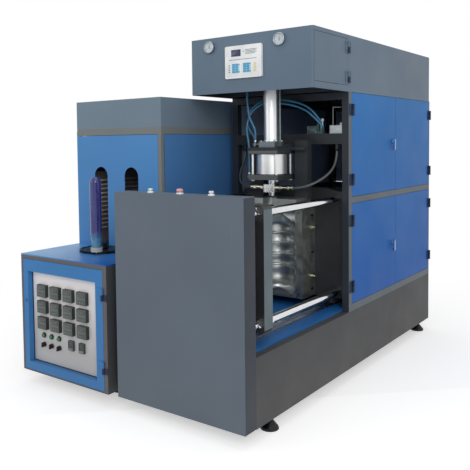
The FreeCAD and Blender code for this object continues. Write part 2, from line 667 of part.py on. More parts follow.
HEADER_H = "blower_height - header_bottom"
HEADER_DOOR_Y = "header_front + header_fold + part_gap"
HEADER_DOOR_END = "header_front + header_door_length"
HEADER_AXIS = "header_front + header_door_length + part_gap / 2"
HEADER_DOOR_Z = "header_bottom + header_door_low"
HEADER_DOOR_H = "blower_height - header_bottom - header_door_low - header_door_high"
HEADER_HINGES = ("(%s) + header_hinge_inset" % HEADER_DOOR_Z,
                 "(%s) + (%s) - header_hinge_inset - hinge_height" % (HEADER_DOOR_Z, HEADER_DOOR_H))


def make_header():
    """Sheet header over mould and cabinet, open below, with a side opening."""
    shell = pan("header_folded", "0", "header_front", "header_bottom", "blower_width",
                "blower_length - header_front", HEADER_H, "-Z", "header_fold")
    door_room = box("header_door_room", "blower_width - 2 * sheet_gauge", HEADER_DOOR_Y + " - part_gap",
                    HEADER_DOOR_Z + " - part_gap", "3 * sheet_gauge",
                    "(%s) - (%s) + 2 * part_gap" % (HEADER_DOOR_END, HEADER_DOOR_Y),
                    HEADER_DOOR_H + " + 2 * part_gap")
    holes = [rod("gauge_hole_" + side, "Y", x, "header_front - 1", "gauge_level",
                 "gauge_body_radius + fit_gap", "sheet_gauge + 2")
             for side, x in (("left", "gauge_left"), ("right", "gauge_right"))]
    panel_room = box("panel_room", "panel_left + panel_rim", "header_front - 1",
                     "panel_bottom + panel_rim", "panel_width - 2 * panel_rim", "sheet_gauge + 2",
                     "panel_height - 2 * panel_rim")
    return cut("header_shell", shell, door_room, panel_room, *holes)


def make_header_door():
    skin = box("header_door_skin", "blower_width - sheet_gauge", HEADER_DOOR_Y, HEADER_DOOR_Z,
               "sheet_gauge", "(%s) - (%s)" % (HEADER_DOOR_END, HEADER_DOOR_Y), HEADER_DOOR_H)
    rims = [box("header_door_rim_%d" % i, "blower_width - sheet_gauge - header_rim", y,
                HEADER_DOOR_Z, "header_rim + 1", "sheet_gauge", HEADER_DOOR_H)
            for i, y in enumerate((HEADER_DOOR_Y, HEADER_DOOR_END + " - sheet_gauge"))]
    leaves = [hinge_half("header_door_hinge_%d" % i, HINGE_X, HEADER_AXIS, z,
                         "(%s) - hinge_radius - leaf_gap - leaf_width" % HEADER_AXIS,
                         "(%s) - hinge_radius - web_width" % HEADER_AXIS, True)
              for i, z in enumerate(HEADER_HINGES)]
    return fuse("header_side_door", skin, *(rims + leaves))


def make_hinge_brackets():
    """Every fixed hinge half, each with its pin."""
    halves = []
    for name, z, height in (("lower", LOWER_Z, LOWER_H), ("upper", UPPER_Z, UPPER_H)):
        for i, level in enumerate(door_hinges(z, height)):
            halves.append(side_hinge("%s_front_bracket_%d" % (name, i), level, True, False))
            halves.append(corner_hinge("%s_rear_bracket_%d" % (name, i), level))
    for i, z in enumerate(HEADER_HINGES):
        halves.append(hinge_half("header_bracket_%d" % i, HINGE_X, HEADER_AXIS, z,
                                 "(%s) + hinge_radius + leaf_gap" % HEADER_AXIS, HEADER_AXIS, False))
    for i, z in enumerate(HEATER_HINGES):
        halves.append(front_hinge("heater_bracket_%d" % i, z, False))
    return group("hinge_brackets", *halves)


# Left edge and width of each key field, from the panel's left side.
KEY_FIELDS = ((46, 52), (118, 52), (186, 20))


def make_control_panel():
    """Keypad housing with rounded corners, a sunk display and raised key fields."""
    body = prism("panel_block", "Y", "panel_left", "header_front - panel_proud", "panel_bottom",
                 block_points("panel_width", "panel_height"), "panel_proud")
    soften(body, "panel_corner", lambda edge: along(edge, "Y"))
    inset = "(panel_rim + spigot_gap)"
    spigot = box("panel_spigot", "panel_left + " + inset, "header_front", "panel_bottom + " + inset,
                 "panel_width - 2 * " + inset, "spigot_depth", "panel_height - 2 * " + inset)
    front = "header_front - panel_proud"
    display = box("panel_display", "panel_left + display_left", front + " - 1",
                  "panel_bottom + display_low", "display_width", "display_depth + 1", "display_height")
    keys = [box("panel_keys_%d" % i, "panel_left + %d" % shift, front + " - key_proud",
                "panel_bottom + keys_low", str(width), "key_proud + 1", "keys_height")
            for i, (shift, width) in enumerate(KEY_FIELDS)]
    return fuse("control_panel", cut("panel_sunk", body, display), spigot, *keys)


GAUGES = {"left": "gauge_left", "right": "gauge_right"}
DIAL_Y = "header_front - dial_depth"


def make_gauges():
    """Round gauge cases: a rim, a dial floor and a body behind the sheet."""
    cases = []
    for side, x in GAUGES.items():
        rim, room = "gauge_radius", "gauge_radius - gauge_rim"
        bore, floor = "needle_shaft_radius + bore_gap", "0 - dial_depth"
        shape = [(bore, floor), (room, floor), (room, "0 - gauge_proud"),
                 (rim + " - bezel_inset", "0 - gauge_proud"), (rim, "bezel_depth - gauge_proud"),
                 (rim, "0"),
                 ("gauge_body_radius", "0"), ("gauge_body_radius", "gauge_depth"),
                 (bore, "gauge_depth")]
        cases.append(turned("gauge_case_" + side, "Y", x, "header_front", "gauge_level", shape))
    return group("gauge_cases", *cases)


def make_needle(label, x):
    """A tapered pointer on a hub, standing just off its dial."""
    hub = rod(label + "_hub", "Y", x, DIAL_Y + " - needle_lead", "gauge_level",
              "needle_hub_radius", "needle_hub_length")
    shaft = rod(label + "_shaft", "Y", x, DIAL_Y + " - needle_shaft_lead", "gauge_level",
                "needle_shaft_radius", "needle_shaft_length")
    pointer = prism(label + "_pointer", "Y", x, DIAL_Y + " - pointer_lead", "gauge_level",
                    [("0 - pointer_root", "0 - pointer_tail"), ("pointer_root", "0 - pointer_tail"),
                     ("pointer_tip", "needle_length"), ("0 - pointer_tip", "needle_length")],
                    "pointer_thickness")
    return fuse(label, hub, shaft, pointer)


# ---------------------------------------------------------------- mould clamp

BAR_LOW = "platen_bottom + tie_bar_inset_z"
BAR_HIGH = "platen_top - tie_bar_inset_z"
BARS = [(x, z) for z in (BAR_LOW, BAR_HIGH)
        for x in ("tie_bar_inset_x", mirrored("tie_bar_inset_x"))]
CLAMP_Z = "(platen_bottom + platen_top) / 2"
FRONT_PLATEN_BACK = "front_platen_front + platen_thickness"
END_PLATE_BACK = "end_plate_front + platen_thickness"
REAR_PLATEN_BACK = "rear_platen_front + platen_thickness"
PLATEN_LEFT = "post_size + platen_margin"
PLATEN_WIDTH = "blower_width - 2 * (%s)" % PLATEN_LEFT


def platen(name, y, hump="0"):
    """A cast platen with rounded corners on two slide shoes."""
    wide, tall = PLATEN_WIDTH, "platen_top - platen_bottom"
    crown = [("0", "0"), (wide, "0"), (wide, tall), (wide + " - platen_shoulder", tall + " + " + hump),
             ("platen_shoulder", tall + " + " + hump), ("0", tall)]
    shape = crown if hump != "0" else block_points(wide, tall)
    body = prism(name + "_plate", "Y", PLATEN_LEFT, y, "platen_bottom", shape, "platen_thickness")
    soften(body, "platen_corner", lambda edge: along(edge, "Y") and (
        hump == "0" or edge.CenterOfMass.z < size(tall) / 2))
    shoes = []
    grooves = []
    for side, sign in (("left", "-"), ("right", "+")):
        middle = "%s %s rail_spread" % (MID, sign)
        front = "%s + platen_thickness / 2 - shoe_length / 2" % y
        shoes.append(box("%s_shoe_%s" % (name, side), middle + " - shoe_width / 2", front,
                         DECK_TOP + " + shoe_lift", "shoe_width", "shoe_length",
                         "platen_bottom - (%s) - shoe_lift" % DECK_TOP))
        grooves.append(box("%s_groove_%s" % (name, side), middle + " - rail_width / 2 - running_gap",
                           front + " - 1", DECK_TOP, "rail_width + 2 * running_gap",
                           "shoe_length + 2", "rail_height + running_gap"))
    return cut(name + "_casting", fuse(name + "_joined", body, *shoes), *grooves)


def bar_holes(name, y, gap):
    return [rod("%s_hole_%d" % (name, i), "Y", x, y + " - 1", z, "tie_bar_radius + " + gap,
                "platen_thickness + 2") for i, (x, z) in enumerate(BARS)]


def recesses(name, y):
    """Four pockets that leave a rim and a cross rib, as cast platens have."""
    wide = "(%s - 2 * recess_rim - rib_width) / 2" % PLATEN_WIDTH
    tall = "(platen_top - platen_bottom - 2 * recess_rim - rib_width) / 2"
    pockets = []
    for i in range(4):
        x = PLATEN_LEFT + " + recess_rim" + (" + %s + rib_width" % wide if i % 2 else "")
        z = "platen_bottom + recess_rim" + (" + %s + rib_width" % tall if i > 1 else "")
        pockets.append(box("%s_pocket_%d" % (name, i), x, y, z, wide, "recess_depth", tall))
    return pockets


def make_front_platen():
    return cut("front_platen", platen("front", "front_platen_front"),
               *(bar_holes("front", "front_platen_front", "fit_gap")
                 + recesses("front", "front_platen_front")))


def make_rear_platen():
    return cut("rear_platen", platen("rear", "rear_platen_front", "rear_hump"),
               *bar_holes("rear", "rear_platen_front", "bore_gap"))


def make_tie_bars():
    """Tie bars with a pair of nuts on each of the two plates that they join."""
    start = "front_platen_front - nut_length - bar_end"
    length = "(%s) + nut_length + bar_end - (%s)" % (END_PLATE_BACK, start)
    seats = ("front_platen_front - nut_length", FRONT_PLATEN_BACK, "end_plate_front - nut_length",
             END_PLATE_BACK)
    bars = []
    for i, (x, z) in enumerate(BARS):
        bar = rod("bar_%d" % i, "Y", x, start, z, "tie_bar_radius", length)
        nuts = [hexagon("bar_nut_%d_%d" % (i, j), "Y", x, y, z, "nut_radius", "nut_length")
                for j, y in enumerate(seats)]
        bars.append(fuse("bar_with_nuts_%d" % i, bar, *nuts))
    return group("tie_bars", *bars)


def make_clamp_cylinder():
    """End plate with the clamp cylinder's barrel cast on."""
    barrel = turned("clamp_barrel", "Y", MID, END_PLATE_BACK + " - 1", CLAMP_Z, [
        ("0", "0"), ("cylinder_radius + cylinder_flange", "0"),
        ("cylinder_radius + cylinder_flange", "cylinder_flange_length"),
        ("cylinder_radius", "cylinder_flange_length"),
        ("cylinder_radius", "cylinder_length - cylinder_flange_length"),
        ("cylinder_radius + cylinder_head", "cylinder_length - cylinder_flange_length"),
        ("cylinder_radius + cylinder_head", "cylinder_length"), ("0", "cylinder_length")])
    bore = rod("clamp_bore", "Y", MID, END_PLATE_BACK + " + cylinder_floor", CLAMP_Z,
               "cylinder_bore_radius", "cylinder_length - cylinder_floor - cylinder_cap")
    gland = rod("clamp_gland", "Y", MID, "end_plate_front - 1", CLAMP_Z,
                "rod_radius + bore_gap", "platen_thickness + cylinder_floor + 2")
    return cut("clamp_cylinder", fuse("clamp_joined", platen("end", "end_plate_front"), barrel),
               bore, gland, *bar_holes("end", "end_plate_front", "fit_gap"))


def make_clamp_rod():
    """Piston rod with its flange on the rear platen."""
    reach = ("(%s) + cylinder_length - cylinder_cap - piston_rest_gap - (%s)"
             % (END_PLATE_BACK, REAR_PLATEN_BACK))
    return turned("clamp_rod", "Y", MID, REAR_PLATEN_BACK, CLAMP_Z, [
        ("0", "0"), ("rod_flange_radius", "0"), ("rod_flange_radius", "rod_flange_length"),
        ("rod_radius", "rod_flange_length"), ("rod_radius", reach + " - piston_length"),
        ("cylinder_bore_radius - bore_gap", reach + " - piston_length"),
        ("cylinder_bore_radius - bore_gap", reach), ("0", reach)])


# ---------------------------------------------------------------- mould

def bottle_outline():
    """Half section of the bottle: push-up, heel, ribs, round shoulder and neck."""
    wall, base = "bottle_radius", "bottle_base"
    points = [("0", base + " + push_up"), ("bottle_radius * 0.5", base + " + push_up * 0.55"),
              ("bottle_radius * 0.68", base), ("bottle_radius * 0.84", base),
              (wall, base + " + foot_rise", "foot_rise * 1.1", 1)]
    for i in range(int(SIZES["rib_count"])):
        level = base + " + rib_first + %d * rib_pitch" % i
        points += [(wall, level + " - rib_half"), (wall + " - rib_depth", level + " - rib_crest"),
                   (wall + " - rib_depth", level + " + rib_crest"), (wall, level + " + rib_half")]
    points += [(wall, "bottle_shoulder"),
               ("bottle_neck_radius", "bottle_neck_low", "bottle_radius * 1.02", 1),
               ("bottle_neck_radius", "mould_top - mould_bottom + 1"),
               ("0", "mould_top - mould_bottom + 1")]
    return points


def make_mould(label, face_y, behind):
    """A mould half: a block with half of the ribbed bottle turned out of its face."""
    body = new_body(label)
    sketch = new_sketch(body, "XZ_Plane", label + "_block")
    half, tall = "mould_half_width", "mould_top - mould_bottom"
    outline(sketch, [("0 - " + half, "0"), (half, "0"), (half, tall), ("0 - " + half, tall)])
    pad(body, sketch, "mould_depth", behind)
    solid = body.Tip
    doc.recompute()
    before = solid.Shape.Volume
    cavity = new_sketch(body, "XZ_Plane", label + "_bottle")
    outline(cavity, bottle_outline())
    groove = body.newObject("PartDesign::Groove", "Groove")
    groove.Profile = cavity
    groove.ReferenceAxis = (cavity, ["V_Axis"])
    groove.Angle = 360
    doc.recompute()
    assert groove.Shape.Volume < before * 0.9, "the bottle was not cut"
    return place(body, MID, face_y, "mould_bottom")


# ---------------------------------------------------------------- blow and stretch unit

def make_neck_plate():
    """Fixed plate that holds the preform's neck in a slot open to the front."""
    half, back = "neck_plate_half", "neck_plate_back - axis_y"
    front = "neck_plate_front - axis_y"
    slot = "neck_slot_radius"
    shape = [("0 - " + half, front), ("0 - " + slot, front), ("0 - " + slot, "0"),
             ("0", slot, slot, -1), (slot, "0", slot, -1),
             (slot, front), (half, front), (half, back), ("0 - " + half, back)]
    return prism("neck_plate", "Z", MID, "axis_y", "neck_plate_bottom",
                 shape, "neck_plate_top - neck_plate_bottom")


def make_support():
    """Dark gantry: cross beam, two legs down to the neck plate and the carrier."""
    leg_y = "neck_plate_back - support_leg_depth"
    parts = [box("gantry_beam", "post_size", "cabinet_front", "beam_bottom",
                 "blower_width - 2 * post_size", "post_size", "beam_height")]
    for side, x in (("left", MID + " - neck_plate_half - leg_outset"),
                    ("right", MID + " + neck_plate_half + leg_outset - support_leg_width")):
        parts.append(box("gantry_leg_" + side, x, leg_y, "neck_plate_top", "support_leg_width",
                         "support_leg_depth", "beam_bottom + arm_height - neck_plate_top"))
        parts.append(box("gantry_arm_" + side, x, "neck_plate_back", "beam_bottom",
                         "support_leg_width", "cabinet_front - neck_plate_back", "arm_height"))
    carrier = box("gantry_carrier", MID + " - neck_plate_half", "axis_y - seal_flange_half",
                  "seal_top", "2 * neck_plate_half", "(%s) - axis_y + seal_flange_half" % leg_y,
                  "carrier_thickness")
    corner = [box("gantry_corner_%d" % i, x, "axis_y - seal_flange_half - 1", "seal_top - 1",
                  "neck_plate_half - seal_flange_half + 1", "carrier_notch",
                  "carrier_thickness + 2")
              for i, x in enumerate((MID + " - neck_plate_half - 1", MID + " + seal_flange_half"))]
    bore = rod("gantry_bore", "Z", MID, "axis_y", "seal_top - 1", "stretch_rod_radius + rod_room",
               "carrier_thickness + 2")
    return fuse("blow_support", cut("gantry_plate", carrier, bore, *corner), *parts)


STRETCH_LOW = "seal_top + carrier_thickness"
PORTS = {
    "low": ("seal_flange_half", "axis_y - port_shift",
            "seal_top - seal_flange_top_thickness - seal_barrel_length - low_port_drop"),
    "high": ("seal_flange_half", "axis_y + port_shift", "seal_top - high_port_drop"),
    "cap": ("stretch_cap_half", "axis_y - port_shift", STRETCH_LOW + " + stretch_cap_height / 2"),
}


def port_top(name):
    """Where a hose meets its elbow."""
    half, y, level = PORTS[name]
    return ("%s - %s - port_reach + port_radius" % (MID, half), y, "%s + port_stub" % level)


def elbow(name):
    """A screwed elbow on a left face: pipe, corner block and the stub for a hose."""
    x, y, top = port_top(name)
    level = "%s - port_stub" % top
    return [rod("port_" + name, "X", x, y, level, "port_pipe_radius", "port_reach"),
            box("elbow_" + name, x + " - port_radius", y + " - port_radius",
                level + " - port_radius", "2 * port_radius", "2 * port_radius", "2 * port_radius"),
            rod("stub_" + name, "Z", x, y, level, "port_stub_radius", "port_stub")]


def make_stretch_cylinder():
    """Bright tube with square bottom cap, top cap and the switch rod beside it."""
    cap = box("stretch_cap", MID + " - stretch_cap_half", "axis_y - stretch_cap_half", STRETCH_LOW,
              "2 * stretch_cap_half", "2 * stretch_cap_half", "stretch_cap_height")
    tube = rod("stretch_tube", "Z", MID, "axis_y", STRETCH_LOW, "stretch_tube_radius",
               "stretch_top - (%s)" % STRETCH_LOW)
    foot = box("switch_foot", MID + " + stretch_cap_half", "axis_y - switch_foot_half",
               STRETCH_LOW + " + switch_foot_lift",
               "switch_rod_offset + switch_foot_half - stretch_cap_half",
               "2 * switch_foot_half", "stretch_cap_height - switch_foot_lift")
    top_foot = box("switch_head", MID, "axis_y - switch_foot_half",
                   "stretch_top - switch_head_height", "switch_rod_offset + switch_foot_half",
                   "2 * switch_foot_half", "switch_head_height")
    rail = rod("switch_rail", "Z", MID + " + switch_rod_offset", "axis_y",
               STRETCH_LOW + " + switch_rod_start", "switch_rod_radius",
               "stretch_top - switch_rod_start - (%s)" % STRETCH_LOW)
    bore = rod("stretch_bore", "Z", MID, "axis_y", STRETCH_LOW + " + stretch_floor",
               "stretch_bore_radius",
               "stretch_top - stretch_head - stretch_floor - (%s)" % STRETCH_LOW)
    gland = rod("stretch_gland", "Z", MID, "axis_y", STRETCH_LOW + " - 1",
                "stretch_rod_radius + bore_gap", "stretch_floor + 2")
    joined = fuse("stretch_joined", cap, tube, foot, top_foot, rail, *elbow("cap"))
    return cut("stretch_cylinder", joined, bore, gland)


def make_stretch_rod():
    """Stretch rod with a round tip below and its piston at the top."""
    low = "nozzle_tip_low + rod_recess"
    top = "stretch_top - stretch_head - piston_rest_gap - (%s)" % low
    r = "stretch_rod_radius"
    return turned("stretch_rod", "Z", MID, "axis_y", low, [
        ("0", "0"), ("stretch_tip_radius", "0"), (r, "stretch_tip_radius"),
        (r, top + " - stretch_piston_length"),
        ("stretch_bore_radius - bore_gap", top + " - stretch_piston_length"),
        ("stretch_bore_radius - bore_gap", top), ("0", top)])


def make_seal_cylinder():
    """Short wide cylinder between two flanges, drawn together by four rods."""
    barrel_low = "seal_top - seal_flange_top_thickness - seal_barrel_length"
    low = barrel_low + " - seal_flange_low_thickness"
    left = MID + " - seal_flange_half"
    front = "axis_y - seal_flange_half"
    wide = "2 * seal_flange_half"
    parts = [box("seal_low_flange", left, front, low, wide, wide, "seal_flange_low_thickness"),
             box("seal_top_flange", left, front, "seal_top - seal_flange_top_thickness", wide, wide,
                 "seal_flange_top_thickness"),
             rod("seal_barrel", "Z", MID, "axis_y", barrel_low, "seal_barrel_radius",
                 "seal_barrel_length")]
    for i, (sx, sy) in enumerate((("-", "-"), ("+", "-"), ("-", "+"), ("+", "+"))):
        parts.append(hexagon("seal_rod_%d" % i, "Z", "%s %s seal_rod_offset" % (MID, sx),
                             "axis_y %s seal_rod_offset" % sy, low + " - seal_rod_reach",
                             "seal_rod_radius", "seal_top - (%s) + seal_rod_reach" % low))
    parts += elbow("low") + elbow("high")
    room = rod("seal_room", "Z", MID, "axis_y", barrel_low + " - seal_room_rise",
               "seal_bore_radius", "seal_barrel_length + 2 * seal_room_rise")
    gland = rod("seal_gland", "Z", MID, "axis_y", low + " - 1", "nozzle_rod_radius + bore_gap",
                "seal_flange_low_thickness + 2")
    top_bore = rod("seal_top_bore", "Z", MID, "axis_y", "seal_top - seal_flange_top_thickness - 1",
                   "stretch_rod_radius + rod_room", "seal_flange_top_thickness + 2")
    return cut("seal_cylinder", fuse("seal_joined", *parts), room, gland, top_bore)


def make_nozzle():
    """Seal piston, hollow rod, block with two air fittings and the sealing tip."""
    block_low, block_high = "nozzle_block_low", "nozzle_block_high"
    stem = turned("nozzle_stem", "Z", MID, "axis_y", "0", [
        ("0", "nozzle_tip_low"), ("nozzle_tip_radius", "nozzle_tip_low"),
        ("nozzle_neck_radius", block_low), ("nozzle_neck_radius", block_high),
        ("nozzle_rod_radius", block_high + " + nozzle_shoulder"),
        ("nozzle_rod_radius", "nozzle_piston_low"),
        ("seal_bore_radius - bore_gap", "nozzle_piston_low"),
        ("seal_bore_radius - bore_gap", "nozzle_piston_low + nozzle_piston_length"),
        ("0", "nozzle_piston_low + nozzle_piston_length")])
    block = prism("nozzle_block", "Z", MID + " - nozzle_block_half", "axis_y - nozzle_block_half",
                  block_low, block_points("2 * nozzle_block_half", "2 * nozzle_block_half"),
                  "nozzle_block_high - nozzle_block_low")
    soften(block, "nozzle_corner", lambda edge: along(edge, "Z"))
    parts = [stem, block]
    level = "nozzle_block_low + fitting_level"
    for side, sign in (("left", "-"), ("right", "+")):
        start = MID + (" - nozzle_block_half - fitting_reach" if sign == "-"
                       else " + nozzle_block_half - 1")
        parts.append(rod("fitting_pipe_" + side, "X", start, "axis_y", level, "fitting_radius",
                         "fitting_reach + 1"))
        for i, out in enumerate(("fitting_nut_near", "fitting_nut_far")):
            shift = out if sign == "+" else "fitting_reach - fitting_nut_length - " + out
            parts.append(hexagon("fitting_nut_%s_%d" % (side, i), "X", start + " + " + shift, "axis_y",
                                 level, "fitting_nut_radius", "fitting_nut_length"))
    bore = rod("nozzle_bore", "Z", MID, "axis_y", "nozzle_tip_low - 1",
               "stretch_rod_radius + bore_gap", "nozzle_piston_low + nozzle_piston_length + 2")
    return cut("blow_nozzle", fuse("nozzle_joined", *parts), bore)


# ---------------------------------------------------------------- valves and hoses

VALVE_LOW = "beam_bottom + beam_height"
VALVE_Y = "cabinet_front + part_gap"
VALVES = {"middle": MID + " + valve_offset",
          "right": "blower_width - post_size - valve_width - part_gap"}
OUTLET_X = VALVES["middle"] + " + valve_width + ledge_width / 2"
OUTLET_Z = VALVE_LOW + " + ledge_height + outlet_stub"
OUTLETS = {"front": VALVE_Y + " + valve_depth / 2 - outlet_offset",
           "back": VALVE_Y + " + valve_depth / 2 + outlet_offset"}
HEADER_PORT = (MID + " - header_port_offset", "axis_y - header_port_lead",
               "header_bottom + header_port_lift")


def make_valve(name, x, *more):
    """A valve block with a raised cover and a screwed port on top."""
    block = box("valve_block_" + name, x, VALVE_Y, VALVE_LOW, "valve_width", "valve_depth",
                "valve_height")
    cover = box("valve_cover_" + name, "(%s) + valve_rim" % x, VALVE_Y + " - valve_rim",
                VALVE_LOW + " + valve_rim", "valve_width - 2 * valve_rim", "valve_rim + 1",
                "valve_height - 2 * valve_rim")
    port = rod("valve_port_" + name, "Z", "(%s) + valve_width - port_radius - part_gap" % x,
               VALVE_Y + " + valve_depth / 2", VALVE_LOW + " + valve_height", "port_radius",
               "valve_port_height")
    return fuse("valve_" + name, block, cover, port, *more)


def make_valves():
    """Valves on the beam, the port block in the header and two air ports."""
    x, y, z = HEADER_PORT
    ledge = box("valve_ledge", VALVES["middle"] + " + valve_width", VALVE_Y, VALVE_LOW,
                "ledge_width", "valve_depth", "ledge_height")
    outlets = [rod("outlet_" + name, "Z", OUTLET_X, y_outlet, VALVE_LOW + " + ledge_height",
                   "port_stub_radius", "outlet_stub") for name, y_outlet in OUTLETS.items()]
    block = box("header_port_block", x + " - valve_width / 2", y + " - port_radius",
                z + " + header_port_stub", "valve_width",
                "(%s) - axis_y + header_port_lead + port_radius" % CROSS_Y, "header_port_height")
    port = rod("header_port", "Z", x, y, z, "port_radius", "header_port_stub + 1")
    air_ports = [rod("air_port_" + side, "Z", "%s %s air_port_offset" % (MID, sign),
                     "cabinet_front + post_size / 2", "beam_bottom - air_port_length",
                     "fitting_radius", "air_port_length")
                 for side, sign in (("left", "-"), ("right", "+"))]
    return group("valve_blocks", make_valve("middle", VALVES["middle"], ledge, *outlets),
                 make_valve("right", VALVES["right"]), fuse("valve_header", block, port),
                 *air_ports)


def run_points(points):
    return [Vector(*(size("(%s) - %s" % (text, shift)) for text, shift in
                     zip(point, (ORIGIN_X, ORIGIN_Y, "0")))) for point in points]


def hose(label, points, radius):
    """A hose: straight runs joined by arcs as large as their two runs allow."""
    spots = run_points(points)
    edges = []
    start = spots[0]
    for before, corner, after in zip(spots, spots[1:], spots[2:]):
        back, ahead = before - corner, after - corner
        turn = math.pi - back.getAngle(ahead)
        reach = 0.45 * min(back.Length, ahead.Length)
        bend = reach / math.tan(turn / 2)
        a = corner + Vector(back).normalize() * reach
        b = corner + Vector(ahead).normalize() * reach
        inward = (Vector(back).normalize() + Vector(ahead).normalize()).normalize()
        crown = corner + inward * (bend / math.cos(turn / 2) - bend)
        edges += [Part.LineSegment(start, a).toShape(), Part.Arc(a, crown, b).toShape()]
        start = b
        print("%s bend radius %.0f mm" % (label, bend))
    edges.append(Part.LineSegment(start, spots[-1]).toShape())
    path = Part.Wire(edges)
    first = (spots[1] - spots[0]).normalize()
    section = Part.Wire([Part.Circle(spots[0], first, size(radius)).toShape()])
    solid = path.makePipeShell([section], True, False, 2)
    expected = math.pi * size(radius) ** 2 * path.Length
    assert abs(solid.Volume / expected - 1) < 0.02, label + " has a wrong volume"
    item = add("Part::Feature", label)
    item.Shape = solid
    item.Label = label
    return item


def make_blue_hoses():
    """One hose from the header and two side by side from the middle valve."""
    start, cap = HEADER_PORT, port_top("cap")
    header = hose("blue_hose_header", [
        start, (start[0], start[1], start[2] + " - 86"), ("268", "826", "1500"),
        (cap[0], cap[1], cap[2] + " + 61"), cap], "blue_hose_radius")
    high = port_top("high")
    outer = hose("blue_hose_outer", [
        (OUTLET_X, OUTLETS["back"], OUTLET_Z), (OUTLET_X, OUTLETS["back"], OUTLET_Z + " + 30"),
        ("540", "1037", "1560"), ("430", "983", "1600"), ("300", "919", "1600"),
        ("235", "890", "1550"), ("215", "890", "1450"),
        (high[0], high[1], high[2] + " + 60"), high], "blue_hose_radius")
    low = port_top("low")
    inner = hose("blue_hose_inner", [
        (OUTLET_X, OUTLETS["front"], OUTLET_Z), (OUTLET_X, OUTLETS["front"], OUTLET_Z + " + 26"),
        ("528", "1020", "1543"), ("424", "965", "1580"), ("306", "903", "1580"),
        ("252", "868", "1532"), ("234", "846", "1440"),
        (low[0], low[1], low[2] + " + 160"), low], "blue_hose_radius")
    return group("blue_hoses", header, outer, inner)


def make_dark_hoses():
    """Dark hoses from the nozzle's fittings up to the ports under the beam."""
    level = "nozzle_block_low + fitting_level"
    post_y = "cabinet_front + post_size / 2"
    reach = "nozzle_block_half + fitting_reach"
    hoses = []
    for side, sign in (("right", "+"), ("left", "-")):
        points = [(reach, "axis_y", level), (reach + " + 82", "axis_y", level),
                  ("air_port_offset - 10", "axis_y + 116", level + " + 70"),
                  ("air_port_offset", post_y, "beam_bottom - 92"),
                  ("air_port_offset", post_y, "beam_bottom - 26")]
        hoses.append(hose("dark_hose_" + side, [("%s %s (%s)" % (MID, sign, x), y, z)
                                                for x, y, z in points], "dark_hose_radius"))
    return group("dark_hoses", *hoses)


# ---------------------------------------------------------------- heater cabinet

HEATER_RIGHT = "0 - unit_gap"
HEATER_BACK = HEATER_FRONT + " + heater_length"
TABLE_LOW = "table_top - table_thickness"
OPEN_LEFT = HEATER_LEFT + " + trim_width"
OPEN_LOW = "foot_height + heater_sill"
OPEN_HIGH = TABLE_LOW + " - heater_lintel"
LEAF_LEFT = OPEN_LEFT + " + part_gap"
LEAF_LOW = OPEN_LOW + " + part_gap"
LEAF_WIDTH = "heater_width - trim_width - hinge_trim - 2 * part_gap"
LEAF_HEIGHT = "(%s) - part_gap - (%s)" % (OPEN_HIGH, LEAF_LOW)
WINDOW_LEFT = LEAF_LEFT + " + stile_left"
WINDOW_LOW = LEAF_LOW + " + rail_bottom"
WINDOW_WIDTH = "(%s) - stile_left - stile_right" % LEAF_WIDTH
WINDOW_HEIGHT = "(%s) - rail_bottom - rail_top" % LEAF_HEIGHT
WINDOW_TOP = "(%s) + (%s)" % (WINDOW_LOW, WINDOW_HEIGHT)
PANEL_Y = HEATER_FRONT + " + recess"
HEATER_AXIS_X = "0 - unit_gap - hinge_trim - part_gap / 2"
HEATER_AXIS_Y = HEATER_FRONT + " - hinge_radius - running_gap"
HEATER_HINGES = (LEAF_LOW + " + heater_hinge_inset",
                 "(%s) + (%s) - heater_hinge_inset - hinge_height" % (LEAF_LOW, LEAF_HEIGHT))


def make_heater_cabinet():
    """Heater cabinet with a front opening and an open top under its table."""
    shell = box("heater_skin", HEATER_LEFT, HEATER_FRONT, "foot_height", "heater_width",
                "heater_length", "(%s) - foot_height" % TABLE_LOW)
    room = box("heater_room", HEATER_LEFT + " + cabinet_wall", HEATER_FRONT + " + cabinet_wall",
               "foot_height + heater_floor", "heater_width - 2 * cabinet_wall",
               "heater_length - 2 * cabinet_wall", TABLE_LOW + " - foot_height")
    opening = box("heater_opening", OPEN_LEFT, HEATER_FRONT + " - 1", OPEN_LOW,
                  "heater_width - trim_width - hinge_trim", "cabinet_wall + 2",
                  "(%s) - (%s)" % (OPEN_HIGH, OPEN_LOW))
    bores = [rod("heater_foot_bore_%d" % i, "Z", x, y, "foot_height - 1",
                 "foot_stud_radius + fit_gap", "heater_floor + 2")
             for i, (x, y) in enumerate(FEET[4:])]
    return cut("heater_cabinet", shell, room, opening, *bores)


def front_hinge(name, z, moving):
    """Half of a heater door hinge on the front: the fixed half is narrow."""
    half = "hinge_height / 2 - running_gap / 2"
    low = "(%s) + hinge_height / 2 + running_gap / 2" % z if moving else z
    knuckle = rod(name + "_knuckle", "Z", HEATER_AXIS_X, HEATER_AXIS_Y, low, "hinge_radius", half)
    back = HEATER_FRONT + " - leaf_thickness"
    if not moving:
        leaf = box(name + "_leaf", HEATER_AXIS_X, back, low,
                   "(%s) - (%s)" % (HEATER_RIGHT, HEATER_AXIS_X), "leaf_thickness", half)
        pin = rod(name + "_pin", "Z", HEATER_AXIS_X, HEATER_AXIS_Y, low, "hinge_pin_radius",
                  "hinge_height")
        return fuse(name, knuckle, leaf, pin)
    reach = "hinge_radius + web_width + leaf_width"
    leaf = box(name + "_leaf", "(%s) - (%s)" % (HEATER_AXIS_X, reach), back, low, reach,
               "leaf_thickness", half)
    bore = rod(name + "_bore", "Z", HEATER_AXIS_X, HEATER_AXIS_Y, "(%s) - 1" % low,
               "hinge_pin_radius + bore_gap", "hinge_height")
    return cut(name, fuse(name + "_joined", knuckle, leaf), bore)


